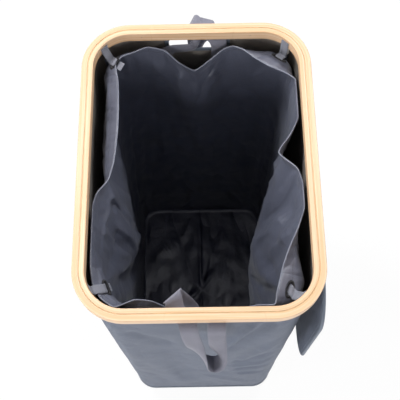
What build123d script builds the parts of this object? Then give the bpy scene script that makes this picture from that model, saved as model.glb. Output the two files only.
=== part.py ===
from build123d import *
import math
import os

# Laundry hamper with a bamboo rim, a fabric body, a lift-out liner and a hinged lid.
# Millimetres. The origin is the centre of the footprint on the floor, +Z is up,
# the front (a short side) faces -Y and the lid hangs on the +X long side.

# ---- Driving dimensions -------------------------------------------------------

HAMPER_HEIGHT = 730.0

# Rim: two bent bamboo hoops with the top of the body cloth gripped between them.
RIM_WIDTH = 330.0
RIM_DEPTH = 440.0
RIM_CORNER_RADIUS = 69.0
HOOP_HEIGHT = 18.0
OUTER_HOOP_THICKNESS = 8.6
INNER_HOOP_THICKNESS = 7.0
HOOP_GAP = 1.0
HOOP_EDGE_ROUND = 1.2
BRAD_RADIUS = 0.7
BRAD_LENGTH = 13.0
BRAD_SPOTS_X = (-80.0, 80.0)
BRAD_SPOTS_Y = (-120.0, 120.0)

# Body cloth: a tapering rounded box.
CLOTH_THICKNESS = 0.8
BASE_HALF_WIDTH = 143.0
BASE_HALF_DEPTH = 210.5
BASE_CORNER_RADIUS = 40.0
BODY_BOTTOM_Z = 2.0
CLOTH_TOP_Z = 728.0

# Base.
BASE_CLOTH_THICKNESS = 1.2
BASE_BOARD_THICKNESS = 3.0
BASE_BOARD_INSET = 2.0
BASE_BINDING_HEIGHT = 7.0
BASE_BINDING_THICKNESS = 1.6

# Hand-holes under the rim, one in each short side.
HAND_HOLE_CENTRE_X = 2.0
HAND_HOLE_WIDTH = 86.0
HAND_HOLE_BOTTOM_Z = 680.0
HAND_HOLE_HEIGHT = 28.0
HAND_HOLE_CORNER = 11.0
HAND_HOLE_BINDING = 2.0
HAND_HOLE_BINDING_DEPTH = 2.6

# Support rods in the four corners, with their sleeves, top plugs and foot caps.
ROD_RADIUS = 3.0
ROD_TUBE_WALL = 0.8
SLEEVE_INNER_RADIUS = 3.4
SLEEVE_OUTER_RADIUS = 4.2
SLEEVE_CLEARANCE = 0.4
SLEEVE_BOTTOM_Z = 22.0
SLEEVE_TOP_Z = 690.0
CAP_RADIUS = 4.2
CAP_BORE_RADIUS = 3.05
CAP_FLOOR = 2.0
FOOT_CAP_TOP_Z = 18.0
PLUG_BOTTOM_Z = 696.0
PLUG_FLOOR = 4.0
PLUG_PIN_RADIUS = 1.2
PLUG_PIN_HOLE_RADIUS = 1.35
PLUG_PIN_HEIGHT = 8.0

# Liner bag, hung just inside the body.
LINER_THICKNESS = 1.0
LINER_TOP_Z = 706.0
LINER_BOTTOM_Z = 5.0
LINER_TOP_CORNER_RADIUS = 49.0
LINER_BOTTOM_CORNER_RADIUS = 29.5
LINER_HALF_DEPTH = 200.0
LINER_NOTCH_Z = 676.0
LINER_NOTCH_HALF_WIDTH = 52.0
LINER_SLOT_Z = 698.8
LINER_SLOT_WIDTH = 20.0
LINER_SLOT_HEIGHT = 11.0
SLOT_BINDING_WIDTH = 2.0
SLOT_BINDING_DEPTH = 2.2

# Corner tabs that hold the liner up: stitched to the rim and threaded through its slots.
TAB_WIDTH = 13.0
TAB_THICKNESS = 1.2
TAB_TOP_Z = 724.0
TAB_BOTTOM_Z = 672.0
TAB_REACH = 11.0
TAB_CLEARANCE = 0.2

# Webbing handles of the liner, led out through the hand-holes.
WEBBING_WIDTH = 24.0
WEBBING_THICKNESS = 2.0
HANDLE_AXIS_Z = 704.0
HANDLE_AXIS_OUT = 224.0
HANDLE_ANCHOR_BOTTOM_Z = 610.0
HANDLE_AXIS_CLEARANCE = 0.6
FRONT_LEG_CENTRES = (-14.5, 21.5)
REAR_LEG_CENTRES = (-6.0, 28.0)
# Each loop seen from the side: distance outwards and upwards from its fold line.
FRONT_LOOP_PATH = ((0.0, 0.0), (28.0, -38.0), (36.0, -76.0), (34.0, -119.0))
REAR_LOOP_PATH = ((0.0, 0.0), (50.0, -20.0), (55.0, -58.0), (46.0, -100.0))
FRONT_LOOP_TIP = (6.0, 30.0)
REAR_LOOP_TIP = (-4.0, 20.0)

# Lid and its cloth hinge on the +X side.
LID_LENGTH = 328.0
LID_DEPTH = 430.0
LID_CORNER_RADIUS = 64.0
LID_BOARD_THICKNESS = 2.4
LID_CLOTH_THICKNESS = 0.6
LID_PIPING_RADIUS = 2.3
FLAP_LENGTH = 24.0
FLAP_THICKNESS = 1.0
FLAP_WIDTH = 292.0
FLAP_EDGE_CLEARANCE = 1.5
LID_HINGE_X = 167.0
LID_HINGE_Z = 709.5
HINGE_STRIP_SEAM = 14.0

# ---- Derived sizes --------------------------------------------------------------

RIM_BOTTOM_Z = HAMPER_HEIGHT - HOOP_HEIGHT
INNER_HOOP_INSET = OUTER_HOOP_THICKNESS + HOOP_GAP
RIM_INSIDE_INSET = INNER_HOOP_INSET + INNER_HOOP_THICKNESS
CLOTH_TOP_INSET = OUTER_HOOP_THICKNESS + (HOOP_GAP - CLOTH_THICKNESS) / 2
CORNER_CENTRE_X = RIM_WIDTH / 2 - RIM_CORNER_RADIUS
CORNER_CENTRE_Y = RIM_DEPTH / 2 - RIM_CORNER_RADIUS
BASE_BOARD_BOTTOM_Z = BASE_CLOTH_THICKNESS + 0.2
BASE_BOARD_TOP_Z = BASE_BOARD_BOTTOM_Z + BASE_BOARD_THICKNESS
LINER_BOTTOM_HALF_WIDTH = (BASE_HALF_WIDTH - BASE_CORNER_RADIUS) + LINER_BOTTOM_CORNER_RADIUS
SMALLEST_FEATURE = 0.1

# Corners as signs of X and Y.
CORNERS = {
    "front_left": (-1, -1),
    "front_right": (1, -1),
    "rear_left": (-1, 1),
    "rear_right": (1, 1),
}


# ---- Shared shapes --------------------------------------------------------------


def save(shape, name):
    """Write one node as its own STEP file."""
    shape.label = name
    export_step(shape, "parts/" + name + ".step")


def group(solids):
    """Several separate solids kept together in one node."""
    return Compound(children=list(solids))


def block(low, high):
    """A box between two corner points."""
    size = [high[i] - low[i] for i in range(3)]
    middle = [(high[i] + low[i]) / 2 for i in range(3)]
    return Pos(*middle) * Box(*size)


def rim_outline(inset):
    """The rim's rounded rectangle, moved inwards by inset."""
    return RectangleRounded(RIM_WIDTH - 2 * inset, RIM_DEPTH - 2 * inset, RIM_CORNER_RADIUS - inset)


def prism(outline, z_low, z_high):
    """An upright prism over an outline."""
    return Pos(0, 0, z_low) * extrude(outline, z_high - z_low)


def tapered(top, bottom, z_low, z_high):
    """A tapering rounded box; top and bottom are (half width, half depth, corner radius)."""
    sections = []
    for size, z in ((bottom, z_low), (top, z_high)):
        half_width, half_depth, radius = size
        sections.append(Pos(0, 0, z) * RectangleRounded(2 * half_width, 2 * half_depth, radius))
    return loft(sections, ruled=True)


def shrunk(size, amount):
    """A (half width, half depth, corner radius) size with every face moved inwards."""
    return tuple(value - amount for value in size)


def side_panels(shell):
    """Cut a rounded shell into four flat sides and four curved corners."""
    far = RIM_DEPTH
    high = HAMPER_HEIGHT + 10
    panels = {
        "front": shell & block((-CORNER_CENTRE_X, -far, -1), (CORNER_CENTRE_X, 0, high)),
        "rear": shell & block((-CORNER_CENTRE_X, 0, -1), (CORNER_CENTRE_X, far, high)),
        "left": shell & block((-far, -CORNER_CENTRE_Y, -1), (0, CORNER_CENTRE_Y, high)),
        "right": shell & block((0, -CORNER_CENTRE_Y, -1), (far, CORNER_CENTRE_Y, high)),
    }
    corner_box = block((CORNER_CENTRE_X, CORNER_CENTRE_Y, -1), (far, far, high))
    for name, signs in CORNERS.items():
        panels["corner_" + name] = shell & mirrored(corner_box, signs)
    return panels


def mirrored(shape, signs):
    """Move a shape made for the +X +Y corner to the corner with these signs."""
    if signs[0] < 0:
        shape = shape.mirror(Plane.YZ)
    if signs[1] < 0:
        shape = shape.mirror(Plane.XZ)
    return shape


def corner_plane():
    """The rear right corner's frame: X points outwards on the diagonal, Y up, Z along the cloth."""
    slant = math.sqrt(0.5)
    origin = (CORNER_CENTRE_X, CORNER_CENTRE_Y, 0)
    return Plane(origin=origin, x_dir=(slant, slant, 0), z_dir=(slant, -slant, 0))


# ---- Rim ------------------------------------------------------------------------


def hoop(outside_inset, thickness):
    """One bamboo hoop with its long edges eased."""
    ring = rim_outline(outside_inset) - rim_outline(outside_inset + thickness)
    solid = prism(ring, RIM_BOTTOM_Z, HAMPER_HEIGHT)
    flat_faces = solid.faces().sort_by(Axis.Z)
    long_edges = flat_faces[0].edges() + flat_faces[-1].edges()
    return fillet(long_edges, HOOP_EDGE_ROUND)


def hoop_brads():
    """Headless brads driven from inside through the inner hoop and the cloth."""
    z = (RIM_BOTTOM_Z + HAMPER_HEIGHT) / 2
    inside_x = RIM_WIDTH / 2 - RIM_INSIDE_INSET
    inside_y = RIM_DEPTH / 2 - RIM_INSIDE_INSET
    brad = Cylinder(BRAD_RADIUS, BRAD_LENGTH, align=(Align.CENTER, Align.CENTER, Align.MIN))
    brads = []
    for side in (-1, 1):
        for x in BRAD_SPOTS_X:
            brads.append(Pos(x, side * inside_y, z) * Rot(-90 * side, 0, 0) * brad)
        for y in BRAD_SPOTS_Y:
            brads.append(Pos(side * inside_x, y, z) * Rot(0, 90 * side, 0) * brad)
    return brads


# ---- Body cloth and base ----------------------------------------------------------


def body_top_size():
    """Outside of the cloth where it leaves the rim."""
    return (
        RIM_WIDTH / 2 - CLOTH_TOP_INSET,
        RIM_DEPTH / 2 - CLOTH_TOP_INSET,
        RIM_CORNER_RADIUS - CLOTH_TOP_INSET,
    )


def body_bottom_size():
    """Outside of the cloth at the base."""
    return (BASE_HALF_WIDTH, BASE_HALF_DEPTH, BASE_CORNER_RADIUS)


def body_shell():
    """The whole wall of body cloth, with its top edge inside the rim."""
    top = body_top_size()
    bottom = body_bottom_size()
    outside = tapered(top, bottom, BODY_BOTTOM_Z, RIM_BOTTOM_Z)
    inner_top = shrunk(top, CLOTH_THICKNESS)
    inner_bottom = shrunk(bottom, CLOTH_THICKNESS)
    inside = tapered(inner_top, inner_bottom, BODY_BOTTOM_Z, RIM_BOTTOM_Z)
    collar = rim_outline(CLOTH_TOP_INSET) - rim_outline(CLOTH_TOP_INSET + CLOTH_THICKNESS)
    return (outside - inside) + prism(collar, RIM_BOTTOM_Z, CLOTH_TOP_Z)


def through_short_side(outline, side, depth):
    """Push an outline, drawn round the hand-hole's centre, through the front (-1) or the rear (1)."""
    z = HAND_HOLE_BOTTOM_Z + HAND_HOLE_HEIGHT / 2
    y = side * (body_top_size()[1] - CLOTH_THICKNESS / 2)
    plane = Plane(origin=(HAND_HOLE_CENTRE_X, y, z), x_dir=(1, 0, 0), z_dir=(0, -1, 0))
    return plane * extrude(outline, depth / 2, both=True)


def hand_hole_binding(side):
    """The stitched edging round a hand-hole."""
    grow = 2 * HAND_HOLE_BINDING
    outside = Rectangle(HAND_HOLE_WIDTH + grow, HAND_HOLE_HEIGHT + grow)
    inside = RectangleRounded(HAND_HOLE_WIDTH, HAND_HOLE_HEIGHT, HAND_HOLE_CORNER)
    return through_short_side(outside - inside, side, HAND_HOLE_BINDING_DEPTH)


def around_hand_hole(panel):
    """A short side with its hand-hole: flat pieces that meet edge to edge round the opening."""
    half = HAND_HOLE_WIDTH / 2 + HAND_HOLE_BINDING
    left = HAND_HOLE_CENTRE_X - half
    right = HAND_HOLE_CENTRE_X + half
    low = HAND_HOLE_BOTTOM_Z - HAND_HOLE_BINDING
    high = HAND_HOLE_BOTTOM_Z + HAND_HOLE_HEIGHT + HAND_HOLE_BINDING
    far = RIM_DEPTH
    boxes = [
        block((-far, -far, 0), (far, far, low)),
        block((-far, -far, low), (left, far, high)),
        block((right, -far, low), (far, far, high)),
        block((-far, -far, high), (far, far, RIM_BOTTOM_Z)),
        block((-far, -far, RIM_BOTTOM_Z), (far, far, HAMPER_HEIGHT)),
    ]
    return group(panel & box for box in boxes)


def base_outline(grow):
    """The footprint, moved outwards by grow."""
    return RectangleRounded(
        2 * (BASE_HALF_WIDTH + grow), 2 * (BASE_HALF_DEPTH + grow), BASE_CORNER_RADIUS + grow
    )


# ---- Support rods -------------------------------------------------------------------


def rod_point(z):
    """Centre of the rear right rod at height z, just inside the cloth on the corner's diagonal."""
    share = (z - BODY_BOTTOM_Z) / (RIM_BOTTOM_Z - BODY_BOTTOM_Z)
    sizes = zip(body_bottom_size(), body_top_size())
    half_width, half_depth, radius = [low + share * (high - low) for low, high in sizes]
    reach = (radius - CLOTH_THICKNESS - SLEEVE_CLEARANCE - SLEEVE_OUTER_RADIUS) * math.sqrt(0.5)
    return Vector(half_width - radius + reach, half_depth - radius + reach, z)


def along_rod(z_low, z_high, radius):
    """A cylinder on the rear right rod's axis between two heights."""
    start = rod_point(z_low)
    run = rod_point(z_high) - start
    plane = Plane(origin=start, z_dir=run.normalized())
    return plane * Cylinder(radius, run.length, align=(Align.CENTER, Align.CENTER, Align.MIN))


def support_rod():
    """A thin-walled tube from its foot cap up to its top plug."""
    low = BASE_BOARD_TOP_Z + CAP_FLOOR
    high = RIM_BOTTOM_Z - PLUG_FLOOR
    return along_rod(low, high, ROD_RADIUS) - along_rod(low, high, ROD_RADIUS - ROD_TUBE_WALL)


def rod_sleeve():
    """The cloth channel round a rod."""
    outside = along_rod(SLEEVE_BOTTOM_Z, SLEEVE_TOP_Z, SLEEVE_OUTER_RADIUS)
    return outside - along_rod(SLEEVE_BOTTOM_Z, SLEEVE_TOP_Z, SLEEVE_INNER_RADIUS)


def foot_cap():
    """A cup on the base board that a rod stands in."""
    bottom = BASE_BOARD_TOP_Z + SMALLEST_FEATURE
    cup = along_rod(bottom, FOOT_CAP_TOP_Z, CAP_RADIUS)
    return cup - along_rod(BASE_BOARD_TOP_Z + CAP_FLOOR, FOOT_CAP_TOP_Z, CAP_BORE_RADIUS)


def top_plug():
    """A cap on a rod's top with a pin up into the inner hoop."""
    top = RIM_BOTTOM_Z - SMALLEST_FEATURE
    cup = along_rod(PLUG_BOTTOM_Z, top, CAP_RADIUS)
    cup -= along_rod(PLUG_BOTTOM_Z, RIM_BOTTOM_Z - PLUG_FLOOR, CAP_BORE_RADIUS)
    return cup + along_rod(top - 1, RIM_BOTTOM_Z + PLUG_PIN_HEIGHT, PLUG_PIN_RADIUS)


def plug_pin_hole():
    """The hole in the inner hoop for a top plug's pin."""
    top = RIM_BOTTOM_Z + PLUG_PIN_HEIGHT + 1
    return along_rod(RIM_BOTTOM_Z - 2, top, PLUG_PIN_HOLE_RADIUS)


# ---- Liner ----------------------------------------------------------------------------


def liner_top_size():
    """Outside of the liner at its hem."""
    half_width = CORNER_CENTRE_X + LINER_TOP_CORNER_RADIUS
    return (half_width, LINER_HALF_DEPTH, LINER_TOP_CORNER_RADIUS)


def liner_bottom_size():
    """Outside of the liner on the base board."""
    return (LINER_BOTTOM_HALF_WIDTH, LINER_HALF_DEPTH, LINER_BOTTOM_CORNER_RADIUS)


def liner_shell():
    """The liner's whole wall."""
    top = liner_top_size()
    bottom = liner_bottom_size()
    outside = tapered(top, bottom, LINER_BOTTOM_Z, LINER_TOP_Z)
    inner_top = shrunk(top, LINER_THICKNESS)
    inner_bottom = shrunk(bottom, LINER_THICKNESS)
    return outside - tapered(inner_top, inner_bottom, LINER_BOTTOM_Z, LINER_TOP_Z)


def liner_notch():
    """The dip in the liner's short edges that leaves the hand-holes free."""
    points = [
        (-CORNER_CENTRE_X, LINER_TOP_Z + 1),
        (-LINER_NOTCH_HALF_WIDTH, LINER_NOTCH_Z),
        (LINER_NOTCH_HALF_WIDTH, LINER_NOTCH_Z),
        (CORNER_CENTRE_X, LINER_TOP_Z + 1),
    ]
    face = make_face(Polyline(*points, close=True))
    return Plane.XZ * extrude(face, RIM_DEPTH, both=True)


def liner_base():
    """The liner's floor, just inside the foot of its wall."""
    half_width, half_depth, radius = shrunk(liner_bottom_size(), LINER_THICKNESS + SMALLEST_FEATURE)
    outline = RectangleRounded(2 * half_width, 2 * half_depth, radius)
    return prism(outline, LINER_BOTTOM_Z, LINER_BOTTOM_Z + LINER_THICKNESS)


def corner_slot(shrink, depth):
    """A slot through the rear right corner of the liner, across the diagonal."""
    slot = SlotOverall(LINER_SLOT_WIDTH - 2 * shrink, LINER_SLOT_HEIGHT - 2 * shrink)
    slant = math.sqrt(0.5)
    reach = (LINER_TOP_CORNER_RADIUS - LINER_THICKNESS) * slant
    origin = (CORNER_CENTRE_X + reach, CORNER_CENTRE_Y + reach, LINER_SLOT_Z)
    plane = Plane(origin=origin, x_dir=(slant, -slant, 0), z_dir=(slant, slant, 0))
    return plane * extrude(slot, depth / 2, both=True)


def slot_binding():
    """The stitched edge of a slot."""
    through = corner_slot(SLOT_BINDING_WIDTH, 2 * SLOT_BINDING_DEPTH)
    return corner_slot(0, SLOT_BINDING_DEPTH) - through


def corner_tab():
    """A tab from the rim's inside, in through the liner's slot and down its inside."""
    outer = LINER_TOP_CORNER_RADIUS + TAB_CLEARANCE + TAB_THICKNESS
    inner = outer - TAB_REACH
    step = TAB_THICKNESS
    crossing = LINER_SLOT_Z - step / 2
    points = [
        (outer, TAB_TOP_Z),
        (outer - step, TAB_TOP_Z),
        (outer - step, crossing + step),
        (inner, crossing + step),
        (inner, TAB_BOTTOM_Z),
        (inner + step, TAB_BOTTOM_Z),
        (inner + step, crossing),
        (outer, crossing),
    ]
    face = make_face(Polyline(*points, close=True))
    return corner_plane() * extrude(face, TAB_WIDTH / 2, both=True)


# ---- Handles ----------------------------------------------------------------------------


def side_profile(points, side, x_low, x_high):
    """Extrude an outline given as (distance outwards from the centre, height) across the width."""
    outline = [(side * out, z) for out, z in points]
    face = make_face(Polyline(*outline, close=True))
    plane = Plane(origin=(x_low, 0, 0), x_dir=(0, 1, 0), z_dir=(1, 0, 0))
    return plane * extrude(face, x_high - x_low)


def handle_anchor(side, leg_centres):
    """The sewn part of a handle: up the liner's inside and out through the hand-hole."""
    liner_face = LINER_HALF_DEPTH - LINER_THICKNESS - 0.2
    low = HANDLE_AXIS_Z - WEBBING_THICKNESS / 2
    high = HANDLE_AXIS_Z + WEBBING_THICKNESS / 2
    end = HANDLE_AXIS_OUT - WEBBING_THICKNESS / 2 - HANDLE_AXIS_CLEARANCE
    points = [
        (liner_face, HANDLE_ANCHOR_BOTTOM_Z),
        (liner_face, low),
        (end, low),
        (end, high),
        (liner_face - WEBBING_THICKNESS, high),
        (liner_face - WEBBING_THICKNESS, HANDLE_ANCHOR_BOTTOM_Z),
    ]
    half = WEBBING_WIDTH / 2
    return group(side_profile(points, side, x - half, x + half) for x in leg_centres)


def loop_side(path):
    """The loop's side outline: its path thickened by half the webbing on each side."""
    half = WEBBING_THICKNESS / 2
    spots = [Vector(HANDLE_AXIS_OUT + out, HANDLE_AXIS_Z + up) for out, up in path]
    runs = [(spots[i + 1] - spots[i]).normalized() for i in range(len(spots) - 1)]
    normals = [Vector(-run.Y, run.X) for run in runs]
    edges = {1: [], -1: []}
    for i, spot in enumerate(spots):
        before = normals[max(i - 1, 0)]
        after = normals[min(i, len(normals) - 1)]
        middle = (before + after).normalized()
        reach = half / middle.dot(after)
        for sign in edges:
            edges[sign].append(spot + middle * (sign * reach))
    outline = edges[1] + edges[-1][::-1]
    return [(point.X, point.Y) for point in outline]


def handle_loop(side, leg_centres, path, tip):
    """The free loop: two legs that run together at the tip."""
    half = WEBBING_WIDTH / 2
    left = leg_centres[0] - half
    right = leg_centres[1] + half
    top = HANDLE_AXIS_Z + WEBBING_WIDTH
    bottom = HANDLE_AXIS_Z + path[-1][1] - WEBBING_THICKNESS
    band = side_profile(loop_side(path), side, left, right)
    taper = [
        (left, top),
        (right, top),
        (right, HANDLE_AXIS_Z),
        (tip[1], bottom),
        (tip[0], bottom),
        (left, HANDLE_AXIS_Z),
    ]
    reach = 2 * RIM_DEPTH
    outline = Plane.XZ * extrude(make_face(Polyline(*taper, close=True)), reach, both=True)
    gap_bottom = HANDLE_AXIS_Z + 0.6 * path[-1][1]
    gap_left = leg_centres[0] + half
    gap_right = leg_centres[1] - half
    gap_middle = (gap_left + gap_right + tip[0] + tip[1]) / 4
    gap = [
        (gap_left, top),
        (gap_right, top),
        (gap_right, HANDLE_AXIS_Z),
        (gap_middle + 3, gap_bottom),
        (gap_middle - 3, gap_bottom),
        (gap_left, HANDLE_AXIS_Z),
    ]
    cut = Plane.XZ * extrude(make_face(Polyline(*gap, close=True)), reach, both=True)
    roll = Cylinder(WEBBING_THICKNESS / 2, WEBBING_WIDTH, rotation=(0, 90, 0))
    loop = (band & outline) - cut
    for x in leg_centres:
        loop += Pos(x, side * HANDLE_AXIS_OUT, HANDLE_AXIS_Z) * roll
    return loop


# ---- Lid --------------------------------------------------------------------------------


def lid_plate(inset, thickness, offset):
    """A plate of the lid, hanging: inset from its edge, its middle offset from the lid's plane."""
    outline = RectangleRounded(LID_DEPTH - 2 * inset, LID_LENGTH - 2 * inset, LID_CORNER_RADIUS - inset)
    lid_top = LID_HINGE_Z - FLAP_LENGTH - FLAP_EDGE_CLEARANCE
    origin = (LID_HINGE_X + offset, 0, lid_top - LID_LENGTH / 2)
    plane = Plane(origin=origin, x_dir=(0, 1, 0), z_dir=(1, 0, 0))
    return plane * extrude(outline, thickness / 2, both=True)


def lid_piping():
    """The corded edging round the lid."""
    width = 2 * LID_PIPING_RADIUS
    ring = lid_plate(0, width, 0) - lid_plate(width, 2 * width, 0)
    return chamfer(ring.edges(), 0.3 * LID_PIPING_RADIUS)


def hinge_strip():
    """The cloth strip sewn to the body under the rim that carries the lid's flap."""
    face_x = body_top_size()[0] + 0.2
    top = LID_HINGE_Z + FLAP_THICKNESS / 2
    low = top - FLAP_THICKNESS
    end = LID_HINGE_X - FLAP_THICKNESS / 2 - 0.5
    points = [
        (face_x, top - HINGE_STRIP_SEAM),
        (face_x + FLAP_THICKNESS, top - HINGE_STRIP_SEAM),
        (face_x + FLAP_THICKNESS, low),
        (end, low),
        (end, top),
        (face_x, top),
    ]
    face = make_face(Polyline(*points, close=True))
    return Plane.XZ * extrude(face, FLAP_WIDTH / 2, both=True)


def lid_flap():
    """The free cloth between the two fold lines of the lid's hinge."""
    half = FLAP_THICKNESS / 2
    strip = block(
        (LID_HINGE_X - half, -FLAP_WIDTH / 2, LID_HINGE_Z - FLAP_LENGTH),
        (LID_HINGE_X + half, FLAP_WIDTH / 2, LID_HINGE_Z),
    )
    roll = Cylinder(half, FLAP_WIDTH, rotation=(90, 0, 0))
    strip += Pos(LID_HINGE_X, 0, LID_HINGE_Z) * roll
    return strip + Pos(LID_HINGE_X, 0, LID_HINGE_Z - FLAP_LENGTH) * roll


# ---- Build ------------------------------------------------------------------------------


def build_rim():
    brads = hoop_brads()
    inner = hoop(INNER_HOOP_INSET, INNER_HOOP_THICKNESS)
    outer = hoop(0, OUTER_HOOP_THICKNESS)
    for brad in brads:
        inner -= brad
        outer -= brad
    for signs in CORNERS.values():
        inner -= mirrored(plug_pin_hole(), signs)
    save(outer, "outer_hoop")
    save(inner, "inner_hoop")
    save(group(brads), "hoop_brads")
    return brads


def build_body(brads):
    panels = side_panels(body_shell())
    for brad in brads:
        for name in ("front", "rear", "left", "right"):
            panels[name] -= brad
    for name in ("front", "rear"):
        panels[name] = around_hand_hole(panels[name])
    for name, panel in panels.items():
        save(panel, "body_cloth_" + name)
    save(hand_hole_binding(-1), "hand_hole_binding_front")
    save(hand_hole_binding(1), "hand_hole_binding_rear")


def build_base():
    save(prism(base_outline(0), 0, BASE_CLOTH_THICKNESS), "base_cloth")
    save(prism(base_outline(-BASE_BOARD_INSET), BASE_BOARD_BOTTOM_Z, BASE_BOARD_TOP_Z), "base_board")
    clear = SMALLEST_FEATURE + 0.1
    ring = base_outline(clear + BASE_BINDING_THICKNESS) - base_outline(clear)
    save(prism(ring, 0, BASE_BINDING_HEIGHT), "base_binding")


def build_rods():
    for name, signs in CORNERS.items():
        save(mirrored(support_rod(), signs), "support_rod_" + name)
        save(mirrored(rod_sleeve(), signs), "rod_sleeve_" + name)
    save(group(mirrored(foot_cap(), signs) for signs in CORNERS.values()), "rod_foot_caps")
    save(group(mirrored(top_plug(), signs) for signs in CORNERS.values()), "rod_top_plugs")


def build_liner():
    panels = side_panels(liner_shell())
    panels["front"] -= liner_notch()
    panels["rear"] -= liner_notch()
    for name, signs in CORNERS.items():
        panels["corner_" + name] -= mirrored(corner_slot(0, RIM_CORNER_RADIUS), signs)
        save(mirrored(corner_tab(), signs), "corner_tab_" + name)
    for name, panel in panels.items():
        save(panel, "liner_" + name)
    save(group(mirrored(slot_binding(), signs) for signs in CORNERS.values()), "liner_slot_bindings")
    save(liner_base(), "liner_base")


def build_handles():
    save(handle_anchor(-1, FRONT_LEG_CENTRES), "handle_anchor_front")
    save(handle_anchor(1, REAR_LEG_CENTRES), "handle_anchor_rear")
    save(handle_loop(-1, FRONT_LEG_CENTRES, FRONT_LOOP_PATH, FRONT_LOOP_TIP), "handle_loop_front")
    save(handle_loop(1, REAR_LEG_CENTRES, REAR_LOOP_PATH, REAR_LOOP_TIP), "handle_loop_rear")


def build_lid():
    cloth_offset = (LID_BOARD_THICKNESS + LID_CLOTH_THICKNESS) / 2 + SMALLEST_FEATURE
    inset = 2 * LID_PIPING_RADIUS + SMALLEST_FEATURE
    save(lid_plate(inset, LID_BOARD_THICKNESS, 0), "lid_board")
    save(lid_plate(inset, LID_CLOTH_THICKNESS, cloth_offset), "lid_inner_cloth")
    save(lid_plate(inset, LID_CLOTH_THICKNESS, -cloth_offset), "lid_outer_cloth")
    save(lid_piping(), "lid_piping")
    save(lid_flap(), "lid_flap")
    save(hinge_strip(), "lid_hinge_strip")


def main():
    os.makedirs("parts", exist_ok=True)
    build_body(build_rim())
    build_base()
    build_rods()
    build_liner()
    build_handles()
    build_lid()


main()
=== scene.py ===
"""Laundry hamper: bamboo rim, cloth body on four rods, liner bag with webbing handles, hinged lid.

Run as a script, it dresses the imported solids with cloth, webbing, stitching and finishes.
Lengths are metres. The front, a short side, faces -Y, and the lid hangs on the +X side.
"""

import math

import bmesh
import bpy
import numpy as np
from mathutils import Matrix, Vector, noise


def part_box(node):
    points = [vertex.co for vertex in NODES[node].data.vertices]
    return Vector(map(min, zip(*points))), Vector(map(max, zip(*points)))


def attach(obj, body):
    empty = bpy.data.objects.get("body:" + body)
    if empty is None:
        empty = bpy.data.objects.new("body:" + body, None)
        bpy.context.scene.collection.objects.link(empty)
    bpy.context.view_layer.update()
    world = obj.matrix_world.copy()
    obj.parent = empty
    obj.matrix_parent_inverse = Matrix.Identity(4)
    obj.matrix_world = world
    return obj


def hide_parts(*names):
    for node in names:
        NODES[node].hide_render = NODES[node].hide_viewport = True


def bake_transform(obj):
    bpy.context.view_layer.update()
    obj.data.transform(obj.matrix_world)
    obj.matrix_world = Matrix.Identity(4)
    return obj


bl_info = {
    "name": "Laundry Hamper",
    "version": (1, 0, 0),
    "blender": (4, 5, 0),
    "location": "View3D > Sidebar > Hamper",
    "description": "Cloth, webbing, stitching and finishes for a laundry hamper with a lid",
    "category": "Object",
}

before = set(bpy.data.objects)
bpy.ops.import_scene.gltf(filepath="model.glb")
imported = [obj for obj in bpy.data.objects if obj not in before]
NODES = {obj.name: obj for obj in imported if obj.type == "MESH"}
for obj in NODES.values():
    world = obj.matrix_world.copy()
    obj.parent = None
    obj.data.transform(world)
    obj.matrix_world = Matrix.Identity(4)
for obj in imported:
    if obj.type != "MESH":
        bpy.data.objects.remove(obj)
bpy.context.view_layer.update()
MM = 0.001
TURN = 2 * math.pi
UP = np.array([0.0, 0.0, 1.0])
# The smallest lengths: two points of a pole, two points to merge, and a direction's length.
POLE = 1e-9
MERGED = 1e-7
SHORTEST = 1e-12

# ---- Places taken from the solids ----

_, RIM_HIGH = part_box("outer_hoop")
RIM_RADIUS = 69 * MM
RIM_CENTRE_X = RIM_HIGH.x - RIM_RADIUS
RIM_CENTRE_Y = RIM_HIGH.y - RIM_RADIUS
CORNER_SIGNS = {
    "front_left": (-1, -1),
    "front_right": (1, -1),
    "rear_left": (-1, 1),
    "rear_right": (1, 1),
}
# Middle of the body cloth, and outside of the liner: half width, half depth, corner radius, height.
BODY_TOP = (155.9 * MM, 210.9 * MM, 59.9 * MM, 712 * MM)
BODY_FOOT = (142.6 * MM, 210.1 * MM, 39.6 * MM, 2 * MM)
LINER_TOP = (145 * MM, 200 * MM, 49 * MM, 706 * MM)
LINER_FOOT = (132.5 * MM, 199.2 * MM, 29.5 * MM, 6 * MM)

# ---- Outlines and curves ----

# Legs of every rounded outline, anticlockwise from the front end of the right side.
CORNER_LEG = 86 * MM
LEG_LENGTHS = [2 * RIM_CENTRE_Y, CORNER_LEG, 2 * RIM_CENTRE_X, CORNER_LEG] * 2
LEG_STARTS = np.concatenate([[0], np.cumsum(LEG_LENGTHS)]) / sum(LEG_LENGTHS)
RIGHT, REAR_RIGHT, REAR, REAR_LEFT, LEFT, FRONT_LEFT, FRONT, FRONT_RIGHT = range(8)


def evenly(count):
    """Shares of a closed outline, evenly spread."""
    return np.linspace(0, 1, count, endpoint=False)


def outline(shares, half_x, half_y, radius):
    """Points and outward directions at shares of a rounded outline's length."""
    shares = np.asarray(shares, float) % 1.0
    leg = np.clip(np.searchsorted(LEG_STARTS, shares, side="right") - 1, 0, 7)
    part = (shares - LEG_STARTS[leg]) / (LEG_STARTS[leg + 1] - LEG_STARTS[leg])
    quarter = leg // 2
    centres = np.array([(1, 1), (-1, 1), (-1, -1), (1, -1)], float)
    straight = leg % 2 == 0
    along = np.where(straight, part, 1.0)[:, None]
    centre = centres[quarter - 1] * (1 - along) + centres[quarter] * along
    angle = (quarter + np.where(straight, 0.0, part)) * math.pi / 2
    outward = np.stack([np.cos(angle), np.sin(angle)], axis=1)
    return centre * (half_x - radius, half_y - radius) + outward * radius, outward


def taper_size(share, top, foot):
    """Half width, half depth and corner radius at a share of a tapering wall's height."""
    return [low + share * (high - low) for low, high in zip(foot[:3], top[:3])]


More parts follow.
